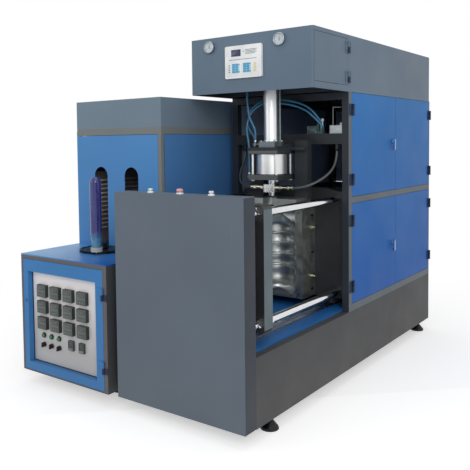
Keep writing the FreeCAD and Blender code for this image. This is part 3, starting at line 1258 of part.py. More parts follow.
def make_heater_door():
    """Folded door with a deep window frame for the instruments."""
    skin = box("heater_door_skin", LEAF_LEFT, HEATER_FRONT, LEAF_LOW, LEAF_WIDTH, "recess", LEAF_HEIGHT)
    window = box("heater_door_window", WINDOW_LEFT, HEATER_FRONT + " - 1", WINDOW_LOW, WINDOW_WIDTH,
                 "recess + 2", WINDOW_HEIGHT)
    room = box("heater_door_room", LEAF_LEFT + " + sheet_gauge", HEATER_FRONT + " + sheet_gauge",
               LEAF_LOW + " + sheet_gauge", LEAF_WIDTH + " - 2 * sheet_gauge", "recess",
               LEAF_HEIGHT + " - 2 * sheet_gauge")
    frame = box("heater_door_rim", WINDOW_LEFT + " - sheet_gauge", HEATER_FRONT,
                WINDOW_LOW + " - sheet_gauge", WINDOW_WIDTH + " + 2 * sheet_gauge", "recess",
                WINDOW_HEIGHT + " + 2 * sheet_gauge")
    leaves = [front_hinge("heater_door_hinge_%d" % i, z, True) for i, z in enumerate(HEATER_HINGES)]
    folded = fuse("heater_door_folded", cut("heater_door_shell", skin, room), frame)
    return fuse("heater_front_door", cut("heater_door_framed", folded, window), *leaves)


# ---------------------------------------------------------------- heater instruments

LAMP_X = ["%s + lamp_left + %d * lamp_pitch" % (WINDOW_LEFT, i) for i in range(3)]


def make_instrument_panel():
    """White plate behind the window with a hole for each switch shaft."""
    plate = box("instrument_plate", WINDOW_LEFT + " - plate_lap", PANEL_Y,
                WINDOW_LOW + " - plate_lap", WINDOW_WIDTH + " + 2 * plate_lap", "sheet_gauge",
                WINDOW_HEIGHT + " + 2 * plate_lap")
    holes = [rod("switch_hole_%d" % i, "Y", x, PANEL_Y + " - 1", WINDOW_TOP + " - switch_drop",
                 "switch_shaft_radius + bore_gap", "sheet_gauge + 2") for i, x in enumerate(LAMP_X)]
    return cut("instrument_panel", plate, *holes)


def make_regulators():
    """Twelve lamp regulators, each with a sunk display and three keys."""
    modules = []
    for i in range(12):
        x = "%s + module_left + %d * module_pitch_x" % (WINDOW_LEFT, i % 4)
        z = "%s - module_top - module_height - %d * module_pitch_z" % (WINDOW_TOP, i // 4)
        y = PANEL_Y + " - module_proud"
        block = box("module_%d" % i, x, y, z, "module_width", "module_proud", "module_height")
        display = box("module_display_%d" % i, x + " + module_rim", y + " - 1",
                      z + " + module_height - module_rim - module_display_height",
                      "module_width - 2 * module_rim", "module_display_depth + 1",
                      "module_display_height")
        keys = [box("module_key_%d_%d" % (i, j),
                    "%s + module_key_left + %d * module_key_pitch" % (x, j),
                    y + " - module_key_proud", z + " + module_key_left", "module_key_width",
                    "module_key_proud + 0.5", "module_key_height") for j in range(3)]
        modules.append(fuse("module_with_keys_%d" % i, cut("module_sunk_%d" % i, block, display), *keys))
    return group("lamp_regulators", *modules)


def make_indicators():
    """Three signal lamps and two meters."""
    items = []
    for i, x in enumerate(LAMP_X):
        items.append(turned("signal_lamp_%d" % i, "Y", x, PANEL_Y, WINDOW_TOP + " - lamp_drop", [
            ("0", "0 - lamp_proud"), ("lamp_radius - lamp_taper", "0 - lamp_proud"),
            ("lamp_radius", "0 - lamp_bezel"), ("lamp_radius + lamp_rim", "0 - lamp_bezel"),
            ("lamp_radius + lamp_rim", "0"), ("0", "0")]))
    for i in range(2):
        x = "%s + meter_left + %d * meter_pitch" % (WINDOW_LEFT, i)
        z = WINDOW_TOP + " - meter_top - meter_height"
        case = box("meter_%d" % i, x, PANEL_Y + " - meter_proud", z, "meter_width", "meter_proud",
                   "meter_height")
        face = box("meter_face_%d" % i, x + " + meter_rim", PANEL_Y + " - meter_proud - 1",
                   z + " + meter_foot", "meter_width - 2 * meter_rim", "meter_face_depth + 1",
                   "meter_height - meter_foot - meter_rim")
        items.append(cut("meter_sunk_%d" % i, case, face))
    return group("panel_indicators", *items)


def make_switch(label, x):
    """A rotary knob with a grip bar on a shaft through the panel."""
    level = WINDOW_TOP + " - switch_drop"
    knob = turned(label + "_knob", "Y", x, PANEL_Y, level, [
        ("0", "0 - switch_proud"), ("switch_radius - switch_taper", "0 - switch_proud"),
        ("switch_radius", "0 - running_gap"), ("switch_shaft_radius", "0 - running_gap"),
        ("switch_shaft_radius", "switch_shaft_length"), ("0", "switch_shaft_length")])
    grip = box(label + "_grip", x + " - grip_half", PANEL_Y + " - grip_proud",
               level + " - switch_radius + 1", "2 * grip_half", "grip_depth",
               "2 * switch_radius - 2")
    return fuse(label, knob, grip)


# ---------------------------------------------------------------- oven

OVEN_DEPTH = "heater_length - oven_front - heater_lead"
RAIL_LOW = "hood_bottom - oven_post"
LANE_X = HEATER_LEFT + " + lane_middle"


def make_oven_casing():
    """Grey hood on a frame of four posts and four rails."""
    hood = pan("oven_hood", HEATER_LEFT, "oven_front", "hood_bottom", "heater_width", OVEN_DEPTH,
               "heater_height - hood_bottom", "-Z")
    posts = []
    for i, (x, y) in enumerate(((HEATER_LEFT, "oven_front + sheet_gauge"),
                                (HEATER_RIGHT + " - oven_post", "oven_front"),
                                (HEATER_LEFT, HEATER_BACK + " - oven_post"),
                                (HEATER_RIGHT + " - oven_post", HEATER_BACK + " - oven_post"))):
        posts.append(box("oven_post_%d" % i, x, y, "table_top", "oven_post", "oven_post",
                         "hood_bottom - table_top"))
        side = "sheet_gauge" if i % 2 == 0 else "0"
        back = "sheet_gauge" if i == 1 else "0"
        posts.append(box("oven_corner_%d" % i, "%s + %s" % (x, side), "%s + %s" % (y, back),
                         "hood_bottom", "oven_post - sheet_gauge", "oven_post - sheet_gauge",
                         "heater_height - hood_bottom - 1"))
    rails = [box("oven_rail_" + name, x, y, RAIL_LOW, dx, dy, "oven_post")
             for name, x, y, dx, dy in (
                 ("front", HEATER_LEFT, "oven_front", "heater_width", "oven_post"),
                 ("back", HEATER_LEFT, HEATER_BACK + " - oven_post", "heater_width", "oven_post"),
                 ("left", HEATER_LEFT, "oven_front", "oven_post", OVEN_DEPTH),
                 ("right", HEATER_RIGHT + " - oven_post", "oven_front", "oven_post", OVEN_DEPTH))]
    return fuse("oven_casing", hood, *(posts + rails))


def make_oven_front():
    """Front plate with an arch for each run of the conveyor."""
    plate = box("oven_front_plate", HEATER_LEFT, "oven_front", "table_top",
                "heater_width - oven_post - part_gap", "sheet_gauge",
                RAIL_LOW + " - part_gap - table_top")
    arches = []
    for side, sign in (("left", "-"), ("right", "+")):
        middle = "%s %s lane_offset" % (LANE_X, sign)
        arches.append(box("arch_%s" % side, middle + " - slot_width / 2", "oven_front - 1",
                          "table_top - 1", "slot_width", "sheet_gauge + 2",
                          "slot_top - slot_width / 2 - table_top + 1"))
        arches.append(rod("arch_round_%s" % side, "Y", middle, "oven_front - 1",
                          "slot_top - slot_width / 2", "slot_width / 2", "sheet_gauge + 2"))
    return cut("oven_front_panel", plate, *arches)


def make_oven_sides():
    """Flush side and back plates between the oven's posts."""
    low, tall = "table_top", RAIL_LOW + " - table_top - part_gap"
    y = "oven_front + oven_post + sheet_gauge + part_gap"
    long = "(%s) - oven_post - part_gap - (%s)" % (HEATER_BACK, y)
    return group("oven_side_panels",
                 box("oven_left_plate", HEATER_LEFT, y, low, "sheet_gauge", long, tall),
                 box("oven_right_plate", HEATER_RIGHT + " - sheet_gauge", y, low, "sheet_gauge",
                     long, tall),
                 box("oven_back_plate", HEATER_LEFT + " + oven_post + part_gap",
                     HEATER_BACK + " - sheet_gauge", low,
                     "heater_width - 2 * oven_post - 2 * part_gap", "sheet_gauge", tall))


RACK_Y = "oven_front + rack_end_gap"
RACK_LENGTH = OVEN_DEPTH + " - 2 * rack_end_gap"


def make_lamps():
    """Infrared tube lamps that run the length of both lanes, from socket to socket."""
    lamps = []
    for side, sign in (("left", "-"), ("right", "+")):
        for i in range(int(SIZES["tube_count"])):
            lamps.append(hexagon("tube_%s_%d" % (side, i), "Y", "%s %s tube_offset" % (LANE_X, sign),
                                 RACK_Y + " + sheet_gauge", "tube_first + %d * tube_pitch" % i,
                                 "tube_radius", RACK_LENGTH + " - 2 * sheet_gauge"))
    return group("heating_lamps", *lamps)


def make_racks():
    """A folded reflector behind each bank of lamps with a socket plate at each end."""
    racks = []
    for side, left in (("left", LANE_X + " - rack_offset"),
                       ("right", LANE_X + " + rack_offset - rack_width")):
        outer = left if side == "left" else "%s + rack_width - sheet_gauge" % left
        parts = [box("reflector_" + side, outer, RACK_Y, "table_top", "sheet_gauge", RACK_LENGTH,
                     "rack_top - table_top")]
        for i, y in enumerate((RACK_Y, "%s + %s - sheet_gauge" % (RACK_Y, RACK_LENGTH))):
            parts.append(box("rack_end_%s_%d" % (side, i), left, y, "table_top", "rack_width",
                             "sheet_gauge", "rack_top - table_top"))
        racks.append(fuse("rack_" + side, *parts))
    return group("lamp_racks", *racks)


# ---------------------------------------------------------------- conveyor

FRONT_WHEEL = (LANE_X, "wheel_front")
SPACING = "wheel_spacing + (%s) - spacing_depth" % OVEN_DEPTH
REAR_WHEEL = (LANE_X, "wheel_front + " + SPACING)
WHEEL_RADIUS = "lane_offset - chain_width / 2 - running_gap"
SHAFT_LOW = TABLE_LOW + " - boss_height + boss_floor"


def make_table():
    """Table plate with a bearing boss under the front wheel."""
    plate = box("table_plate", HEATER_LEFT, HEATER_FRONT, TABLE_LOW, "heater_width",
                "heater_length", "table_thickness")
    boss = rod("table_boss", "Z", *FRONT_WHEEL, TABLE_LOW + " - boss_height", "hub_boss_radius",
               "boss_height + 1")
    bores = [rod("table_bore", "Z", *FRONT_WHEEL, SHAFT_LOW + " - 1", "wheel_shaft_radius + bore_gap",
                 "boss_height + table_thickness"),
             rod("gear_bore", "Z", *REAR_WHEEL, TABLE_LOW + " - 1", "wheel_shaft_radius + shaft_room",
                 "table_thickness + 2")]
    return cut("heater_table", fuse("table_joined", plate, boss), *bores)


def make_wheel(label, place_of_wheel):
    """A chain wheel: hub and shaft turned, tooth gaps cut round the rim."""
    body = new_body(label)
    profile = new_sketch(body, "XZ_Plane", label + "_profile")
    low, high = "wheel_lift", "wheel_lift + wheel_thickness"
    outline(profile, [
        ("0", "(%s) - table_top" % SHAFT_LOW), ("wheel_shaft_radius", "(%s) - table_top" % SHAFT_LOW),
        ("wheel_shaft_radius", low), (WHEEL_RADIUS, low), (WHEEL_RADIUS, high),
        ("wheel_hub_radius", high), ("wheel_hub_radius", high + " + wheel_hub_lift"),
        ("0", high + " + wheel_hub_lift")])
    wheel = body.newObject("PartDesign::Revolution", "Revolution")
    wheel.Profile = profile
    wheel.ReferenceAxis = (profile, ["V_Axis"])
    wheel.Angle = 360
    doc.recompute()
    gap = new_sketch(body, "XY_Plane", label + "_gap")
    root, rim = WHEEL_RADIUS + " - tooth_depth", WHEEL_RADIUS + " + 1"
    outline(gap, [(root, "0 - tooth_gap / 4"), (rim, "0 - tooth_gap / 2"), (rim, "tooth_gap / 2"),
                  (root, "tooth_gap / 4")])
    notch = body.newObject("PartDesign::Pocket", "Pocket")
    notch.Profile = gap
    notch.Midplane = True
    bind(notch, Length="4 * wheel_thickness")
    doc.recompute()
    ring = body.newObject("PartDesign::PolarPattern", "PolarPattern")
    ring.Originals = [notch]
    ring.Axis = (gap, ["N_Axis"])
    ring.Angle = 360
    bind(ring, Occurrences="tooth_count")
    body.Tip = ring
    doc.recompute()
    assert ring.Shape.Volume < wheel.Shape.Volume, label + " has no tooth gaps"
    return place(body, *place_of_wheel, "table_top")


CHAIN_TOP = "table_top + chain_height"
SPINDLE_AT = ("%s + lane_offset * sin(spindle_angle)" % LANE_X,
              "wheel_front - lane_offset * cos(spindle_angle)")


def make_chain():
    """Conveyor chain as one band, bored for the spindle's pin."""
    body = new_body("chain_band")
    sketch = new_sketch(body, "XY_Plane", "chain_band_outline")
    for radius in ("lane_offset + chain_width / 2", "lane_offset - chain_width / 2"):
        back = "0 - (%s)" % radius
        outline(sketch, [(radius, SPACING), ("0", "%s + (%s)" % (SPACING, radius), radius, 1),
                         (back, SPACING, radius, 1), (back, "0"),
                         ("0", back, radius, 1), (radius, "0", radius, 1)])
    pad(body, sketch, "chain_height")
    place(body, *FRONT_WHEEL, "table_top")
    bore = rod("spindle_bore", "Z", *SPINDLE_AT, "table_top + pin_floor",
               "spindle_pin_radius + bore_gap", "chain_height")
    return cut("conveyor_chain", body, bore)


def make_spindle():
    """Carrier for one preform: pin, flange and the plug inside the preform's neck."""
    foot, crown = "pin_floor + pin_gap - chain_height", "spindle_height + plug_height"
    return turned("preform_spindle", "Z", *SPINDLE_AT, CHAIN_TOP, [
        ("0", foot), ("spindle_pin_radius", foot), ("spindle_pin_radius", "running_gap"),
        ("spindle_radius", "running_gap"), ("spindle_radius", "spindle_height"),
        ("plug_radius", "spindle_height"), ("plug_radius", crown), ("0", crown)])


def make_preform():
    """Hollow preform, neck down on the spindle: neck, support ring and round end."""
    neck, ring, body = "preform_neck_radius", "support_ring_radius", "preform_radius"
    base, length = "preform_neck_height", "preform_length"
    inner = body + " - preform_wall"
    return turned("preform", "Z", *SPINDLE_AT, CHAIN_TOP + " + spindle_height", [
        ("preform_bore_radius", "0"), (neck, "0"), (neck, base + " - support_ring_height"),
        (ring, base + " - support_ring_height"), (ring, base),
        (neck + " + preform_shoulder", base), (body, base + " + preform_taper"),
        (body, "%s - %s" % (length, body)),
        ("0", length, body, 1), ("0", length + " - preform_wall"),
        (inner, "%s - %s" % (length, body)), (inner, base + " + preform_taper + preform_inner_shift"),
        ("preform_bore_radius", base + " + preform_inner_shift")])


def make_motor():
    """Gear head under the table with the motor hanging below it."""
    x, y = REAR_WHEEL
    head = box("gear_head", x + " - gearbox_half", y + " - gearbox_half",
               TABLE_LOW + " - gearbox_height", "2 * gearbox_half", "2 * gearbox_half", "gearbox_height")
    motor = rod("motor", "Z", x, y, TABLE_LOW + " - gearbox_height - motor_length", "motor_radius",
                "motor_length + 1")
    bore = rod("gear_shaft_bore", "Z", x, y, SHAFT_LOW + " - 1", "wheel_shaft_radius + bore_gap",
               "boss_height + 2")
    return cut("drive_motor", fuse("motor_joined", head, motor), bore)


# ---------------------------------------------------------------- the pieces

PIECES = [
    make_base(), make_feet(), make_deck(), make_rails(), make_console(), make_collars(),
    make_button("start_button_left", MID + " - button_spread", "button_radius", "button_height"),
    make_button("start_button_right", MID + " + button_spread", "button_radius", "button_height"),
    make_button("emergency_stop", MID, "stop_radius", "stop_height"),
    make_frame(), make_cabinet_panels(), make_hinge_brackets(),
    make_door("upper_front_door", UPPER_Z, UPPER_H, True, HANDLE_Z["upper"]),
    make_door("upper_rear_door", UPPER_Z, UPPER_H, False, None),
    make_door("lower_front_door", LOWER_Z, LOWER_H, True, HANDLE_Z["lower"]),
    make_door("lower_rear_door", LOWER_Z, LOWER_H, False, None),
    make_handle("upper_door_handle", HANDLE_Z["upper"]),
    make_handle("lower_door_handle", HANDLE_Z["lower"]),
    make_header(), make_header_door(), make_control_panel(), make_gauges(),
    make_needle("gauge_needle_left", GAUGES["left"]),
    make_needle("gauge_needle_right", GAUGES["right"]),
    make_front_platen(), make_rear_platen(), make_tie_bars(), make_clamp_cylinder(), make_clamp_rod(),
    make_mould("front_mould_half", FRONT_PLATEN_BACK + " + mould_depth", False),
    make_mould("rear_mould_half", "rear_platen_front - mould_depth", True),
    make_neck_plate(), make_support(), make_stretch_cylinder(), make_stretch_rod(),
    make_seal_cylinder(), make_nozzle(), make_valves(), make_blue_hoses(), make_dark_hoses(),
    make_heater_cabinet(), make_table(), make_heater_door(), make_instrument_panel(),
    make_regulators(), make_indicators(),
    make_switch("rotary_switch_left", LAMP_X[0]), make_switch("rotary_switch_middle", LAMP_X[1]),
    make_switch("rotary_switch_right", LAMP_X[2]),
    make_oven_casing(), make_oven_front(), make_oven_sides(), make_lamps(), make_racks(),
    make_wheel("front_sprocket", FRONT_WHEEL), make_wheel("rear_sprocket", REAR_WHEEL),
    make_chain(), make_spindle(), make_preform(), make_motor(),
]
doc.recompute()

faults = [item.Label for item in doc.Objects
          if "Invalid" in item.State or "Error" in item.State]
faults += [piece.Label for piece in PIECES if piece.Shape.isNull() or not piece.Shape.isValid()]
if faults:
    raise RuntimeError("these did not come out right: " + ", ".join(faults))
for piece in PIECES:
    piece.Shape.exportStep("parts/%s.step" % piece.Label)
    print("%s: %d solids" % (piece.Label, len(piece.Shape.Solids)))
print("%d nodes written" % len(PIECES))
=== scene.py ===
"""The blow moulding machine and its preform heater, seen from their front right corner.

The frame's nodes keep their shapes and get worked materials here. Small detail, glass, print,
lamps, chain links and the air hoses are made as pieces of their own. Places are written
as on the part's drawing: millimetres from the blowing machine's front left corner on the floor.
"""
import math

import bmesh
import bpy
from mathutils import Matrix, Vector


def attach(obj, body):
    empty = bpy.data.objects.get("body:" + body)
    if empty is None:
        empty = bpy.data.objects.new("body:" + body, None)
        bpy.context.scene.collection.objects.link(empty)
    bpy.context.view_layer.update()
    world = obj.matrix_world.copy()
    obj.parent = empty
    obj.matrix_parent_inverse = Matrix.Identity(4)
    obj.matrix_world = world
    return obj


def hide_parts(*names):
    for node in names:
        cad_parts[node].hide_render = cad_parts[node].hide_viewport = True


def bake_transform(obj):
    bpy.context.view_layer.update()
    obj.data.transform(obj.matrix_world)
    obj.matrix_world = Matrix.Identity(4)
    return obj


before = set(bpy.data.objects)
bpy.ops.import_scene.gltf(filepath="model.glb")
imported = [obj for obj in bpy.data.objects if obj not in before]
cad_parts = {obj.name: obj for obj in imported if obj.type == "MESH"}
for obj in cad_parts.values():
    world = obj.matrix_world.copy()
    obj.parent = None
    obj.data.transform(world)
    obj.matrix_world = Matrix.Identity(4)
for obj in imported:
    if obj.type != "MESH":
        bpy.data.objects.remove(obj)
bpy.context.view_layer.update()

ORIGIN = Vector((28.0, 1175.85, 0.0))
MM = 0.001

# Places on the drawing that several pieces share.
BLOW_X, BLOW_Y = 390, 869
CABINET_SIDE, DOOR_SKIN, BACK_FACE = 779.6, 780.3, 2380
PAN_EDGES = ((462, 984), (1068, 1606))
MOULD_SEAMS = {"front": 461, "rear": 945}
FLANGE_LOW, FLANGE_TOP = 1175, 1289
STRETCH_FOOT, STRETCH_TOP = 1362, 1910


def at(x, y, z):
    """A place on the drawing, in the row's frame."""
    return (Vector((x, y, z)) - ORIGIN) * MM


def row(name, value):
    """One coordinate of a place on the drawing, in the row's frame."""
    return (value - getattr(ORIGIN, name.lower())) * MM


# ---------------------------------------------------------------- camera

CAMERA_AT = (2342, -2323, 1358)
YAW, PITCH, ROLL = math.radians(37.68), math.radians(3.0), math.radians(-0.744)
PICTURE = 470
FOCAL_PIXELS = 653.6
CENTRE_PIXEL = (200.4, 177.2)


def make_camera():
    ahead = Vector((-math.sin(YAW) * math.cos(PITCH), math.cos(YAW) * math.cos(PITCH), -math.sin(PITCH)))
    right = Vector((math.cos(YAW), math.sin(YAW), 0))
    above = right.cross(ahead)
    across = right * math.cos(ROLL) + above * math.sin(ROLL)
    upward = above * math.cos(ROLL) - right * math.sin(ROLL)
    data = bpy.data.cameras.new("camera")
    data.sensor_width = 36.0
    data.lens = FOCAL_PIXELS / PICTURE * data.sensor_width
    data.shift_x = (PICTURE / 2 - CENTRE_PIXEL[0]) / PICTURE
    data.shift_y = (CENTRE_PIXEL[1] - PICTURE / 2) / PICTURE
    data.clip_end = 100.0
    camera = bpy.data.objects.new("camera", data)
    turn = Matrix((across, upward, -ahead)).transposed().to_4x4()
    camera.matrix_world = Matrix.Translation(at(*CAMERA_AT)) @ turn
    bpy.context.scene.collection.objects.link(camera)
    bpy.context.scene.camera = camera


# ---------------------------------------------------------------- materials

def rgb(red, green, blue):
    """A colour written from 0 to 255, as a shader takes it."""
    parts = [c / 255 for c in (red, green, blue)]
    return tuple(c / 12.92 if c < 0.04 else ((c + 0.055) / 1.055) ** 2.4 for c in parts) + (1.0,)


def shade(colour, share):
    return tuple(min(c * share, 1.0) for c in colour[:3]) + (1.0,)


FLOOR_DUST = rgb(150, 146, 138)
CHIPPED_CAST = rgb(120, 124, 126)
SEAM = 0.0001


def feed(tree, socket, source):
    if isinstance(source, bpy.types.NodeSocket):
        tree.links.new(source, socket)
    else:
        socket.default_value = source


def node(tree, kind, output, inputs, **settings):
    """One output of a new shader node, whose inputs take constants or sockets."""
    item = tree.nodes.new("ShaderNode" + kind)
    for name, value in settings.items():
        setattr(item, name, value)
    for socket, source in inputs.items():
        feed(tree, item.inputs[socket], source)
    return item.outputs[output]


class Finish:
    """A material under construction. Its methods give sockets of its node tree."""

    def __init__(self, name):
        self.material = bpy.data.materials.new(name)
        self.material.use_nodes = True
        self.tree = self.material.node_tree
        self.shader = self.tree.nodes["Principled BSDF"]
        self.place = self.node("TexCoord", "Object", {})

    def node(self, kind, output, inputs, **settings):
        return node(self.tree, kind, output, inputs, **settings)

    def set(self, **values):
        """Constants and sockets for the shader, with spaces written as underscores."""
        for name, value in values.items():
            feed(self.tree, self.shader.inputs[name.replace("_", " ")], value)
        return self

    def stretched(self, scale):
        return self.node("Mapping", "Vector", {"Vector": self.place, "Scale": scale})

    def noise(self, scale, detail=2.0, vector=None):
        return self.node("TexNoise", "Fac", {"Vector": vector or self.place, "Scale": scale,
                                             "Detail": detail})

    def spread(self, source, low, high, start=0.0, end=1.0):
        """Source from low to high, stretched over start to end and cut off there."""
        return self.node("MapRange", "Result", {"Value": source, "From Min": low, "From Max": high,
                                                "To Min": start, "To Max": end})

    def maths(self, operation, first, second=0.0):
        return self.node("Math", 0, {0: first, 1: second}, operation=operation)

    def times(self, first, second):
        return self.maths("MULTIPLY", first, second)

    def vectors(self, operation, output, first, second=(0, 0, 0)):
        return self.node("VectorMath", output, {0: first, 1: second}, operation=operation)

    def mixed(self, first, second, share):
        return self.node("Mix", 2, {6: first, 7: second, 0: share}, data_type="RGBA")

    def edges(self, radius):
        """1 on sharp edges and 0 on flat ground."""
        soft = self.node("Bevel", "Normal", {"Radius": radius}, samples=4)
        flat = self.node("NewGeometry", "Normal", {})
        return self.spread(self.vectors("DOT_PRODUCT", "Value", soft, flat), 0.995, 0.80)

    def bump(self, height, distance, strength=1.0, after=None):
        inputs = {"Height": height, "Distance": distance, "Strength": strength}
        if after:
            inputs["Normal"] = after
        return self.node("Bump", "Normal", inputs)

    def axis(self, name):
        """One coordinate of the piece's own frame."""
        return self.node("SeparateXYZ", name, {"Vector": self.place})

    def past(self, name, value):
        """1 where a coordinate is beyond a place on the drawing, and 0 before it."""
        return self.spread(self.axis(name), row(name, value), row(name, value) + SEAM)

    def fading(self, name, low, high, first, last):
        """A colour that goes from first to last between two places on the drawing."""
        return self.mixed(first, last, self.spread(self.axis(name), row(name, low), row(name, high)))

    def scaled(self, colour, share):
        """A colour, written or from a socket, made lighter or darker."""
        source = colour if isinstance(colour, bpy.types.NodeSocket) else colour[:3]
        return self.node("VectorMath", 0, {0: source, "Scale": share}, operation="SCALE")

    def grey(self, value):
        """A number as a grey colour."""
        return self.node("CombineColor", 0, {i: value for i in range(3)})


def painted(name, coat, roughness=0.42, peel=1.0, wear=0.55, dust=0.10, shine=0.22):
    """Powder coat: orange peel, slow tone drift, fine scratches, worn edges and some floor dust.

    The coat is one colour, or a function that gives the finish's colour socket.
    """
    made = Finish(name)
    colour = coat(made) if callable(coat) else coat
    drift = made.noise(1.7, 3.0)
    tone = made.mixed(made.scaled(colour, 0.94), made.scaled(colour, 1.06), made.spread(drift, 0.3, 0.7))
    speck = made.spread(made.noise(900, 1.0), 0.60, 0.72, 0.0, 0.35)
    tone = made.mixed(tone, made.scaled(colour, 1.22), speck)
    scratch = made.noise(60, 4.0, made.stretched((1.0, 1.0, 0.04)))
    tone = made.mixed(tone, made.scaled(colour, 1.30), made.spread(scratch, 0.70, 0.76, 0.0, 0.30))
    low = made.spread(made.axis("Z"), 0.45, 0.05, 0.0, dust)
    tone = made.mixed(tone, FLOOR_DUST, made.times(low, made.noise(6, 5.0)))
    rim = made.times(made.edges(0.0022), made.spread(made.noise(38, 4.0), 0.42, 0.62, 0.15, 1.0))
    tone = made.mixed(tone, made.scaled(colour, 1.55), made.times(rim, wear))
    gloss = made.spread(made.noise(5.0, 4.0), 0.25, 0.75, roughness - 0.06, roughness + 0.09)
    coarse = made.bump(made.noise(260, 1.0), 0.00025 * peel, 0.35)
    normal = made.bump(made.noise(2.4, 1.0), 0.004, 0.12, coarse)
    return made.set(Base_Color=tone, Roughness=gloss, Normal=normal, Specular_IOR_Level=shine,
                    Coat_Weight=0.03, Coat_Roughness=0.28).material


def metal(name, colour, roughness=0.3, grain=(1.0, 1.0, 1.0), fine=220, streak=0.12, stain=0.15, wear=0.0):
    """Bare metal with a grain along its long side, smudges and a little tarnish."""
    made = Finish(name)
    line = made.noise(fine, 3.0, made.stretched(grain))
    smudge = made.noise(11, 5.0)
    tone = made.mixed(shade(colour, 0.88), shade(colour, 1.08), made.spread(line, 0.25, 0.75))
    tone = made.mixed(tone, shade(colour, 0.62), made.spread(smudge, 0.55, 0.80, 0.0, stain))
    if wear:
        tone = made.mixed(tone, shade(colour, 1.5), made.times(made.edges(0.0015), wear))
    gloss = made.maths("ADD", made.spread(line, 0.2, 0.8, -streak / 2, streak / 2),
                       made.spread(smudge, 0.3, 0.75, roughness - 0.04, roughness + 0.10))
    normal = made.bump(line, 0.00012, 0.5)
    return made.set(Base_Color=tone, Roughness=gloss, Normal=normal, Metallic=1.0).material


def moulded(name, colour, roughness=0.4, texture=420, depth=0.00012, coat=0.0):
    """Moulded plastic or rubber with a fine spark texture and handling marks."""
    made = Finish(name)
    cloud = made.noise(14, 4.0)
    tone = made.mixed(shade(colour, 0.90), shade(colour, 1.10), made.spread(cloud, 0.3, 0.7))
    tone = made.mixed(tone, shade(colour, 1.5), made.times(made.edges(0.0010), 0.35))
    gloss = made.spread(cloud, 0.25, 0.75, roughness - 0.05, roughness + 0.08)
    normal = made.bump(made.noise(texture, 2.0), depth, 0.6)
    return made.set(Base_Color=tone, Roughness=gloss, Normal=normal, Coat_Weight=coat,
                    Coat_Roughness=0.1).material


def cast(name, coat):
    """Painted casting: a sandy skin under thick paint, chipped along the edges."""
    made = Finish(name)
    colour = coat(made) if callable(coat) else coat
    lump = made.noise(95, 4.0)
    cloud = made.spread(made.noise(7, 4.0), 0.3, 0.7)
    tone = made.mixed(made.scaled(colour, 0.88), made.scaled(colour, 1.10), cloud)
    chip = made.times(made.edges(0.0035), made.spread(made.noise(45, 4.0), 0.45, 0.58))
    tone = made.mixed(tone, CHIPPED_CAST, made.times(chip, 0.5))
    normal = made.bump(lump, 0.0008, 0.5)
    return made.set(Base_Color=tone, Roughness=made.spread(lump, 0.3, 0.7, 0.42, 0.56),
                    Normal=normal).material


RIB_SPACING, RIB_HEIGHT = 0.074, 0.006
CAVITY_RIM, CAVITY_SKIN = 0.1075, 0.1065
POLISH = (0.32, 0.32, 0.32, 1.0)


def mould_metal(name, axis_y):
    """Milled aluminium block whose cavity, round an upright axis, is polished."""
    made = Finish(name)
    offset = made.vectors("SUBTRACT", 0, made.place, at(BLOW_X, axis_y, 0))
    flat = made.vectors("MULTIPLY", 0, offset, (1, 1, 0))
    inside = made.spread(made.vectors("LENGTH", "Value", flat), CAVITY_RIM, CAVITY_SKIN)
    lines = made.noise(14, 2.0, made.stretched((4.0, 4.0, 90.0)))
    blotch = made.noise(24, 5.0)
    colour = rgb(168, 172, 168)
    tone = made.mixed(shade(colour, 0.72), shade(colour, 1.06), made.spread(blotch, 0.3, 0.65))
    tone = made.mixed(tone, shade(colour, 0.70), made.spread(lines, 0.5, 0.75, 0.0, 0.35))
    tone = made.mixed(tone, rgb(178, 183, 182), inside)
    tone = made.mixed(tone, rgb(196, 200, 200), made.times(made.edges(0.0015), 0.4))
    gloss = made.mixed(made.grey(made.spread(blotch, 0.3, 0.7, 0.36, 0.52)), POLISH, inside)
    wave = made.maths("SINE", made.times(made.axis("Z"), 2 * math.pi / RIB_SPACING))
    ribs = made.times(made.times(wave, inside), made.spread(blotch, 0.2, 0.7, 0.6, 1.0))
    normal = made.bump(ribs, RIB_HEIGHT, 0.40, made.bump(lines, 0.0003, 0.35))
    return made.set(Base_Color=tone, Roughness=gloss, Normal=normal, Metallic=0.95).material


def glass(name, colour):
    """Thin clear cover: mostly see-through, with the gloss of glass."""
    made = Finish(name)
    smear = made.spread(made.noise(30, 4.0), 0.4, 0.8, 0.03, 0.13)
    return made.set(Base_Color=colour, Roughness=smear, Alpha=0.25, IOR=1.45,
                    Normal=made.bump(made.noise(60, 1.0), 0.0002, 0.1)).material


def quartz(name):
    """Infrared tube: clear quartz over a warm coil, in bands of white and warm tone."""
    made = Finish(name)
    bands = made.noise(500, 1.0, made.stretched((0.2, 1.0, 0.2)))
    tone = made.mixed(rgb(236, 234, 230), rgb(214, 202, 188), made.spread(bands, 0.4, 0.6))
    return made.set(Base_Color=tone, Roughness=0.12, Coat_Weight=0.6, Coat_Roughness=0.05,
                    Normal=made.bump(bands, 0.0003, 0.3)).material


def hose_skin(name, colour, roughness):
    """Extruded hose: faint lengthwise drift, dust and a soft sheen."""
    made = Finish(name)
    cloud = made.noise(20, 5.0)
    tone = made.mixed(shade(colour, 0.80), shade(colour, 1.18), made.spread(cloud, 0.3, 0.7))
    gloss = made.spread(cloud, 0.3, 0.7, roughness, roughness + 0.12)
    return made.set(Base_Color=tone, Roughness=gloss, Normal=made.bump(made.noise(700, 1.0), 0.0001, 0.4),
                    Coat_Weight=0.2, Coat_Roughness=0.15).material


NECK_BLUE, BODY_VIOLET = 823, 876


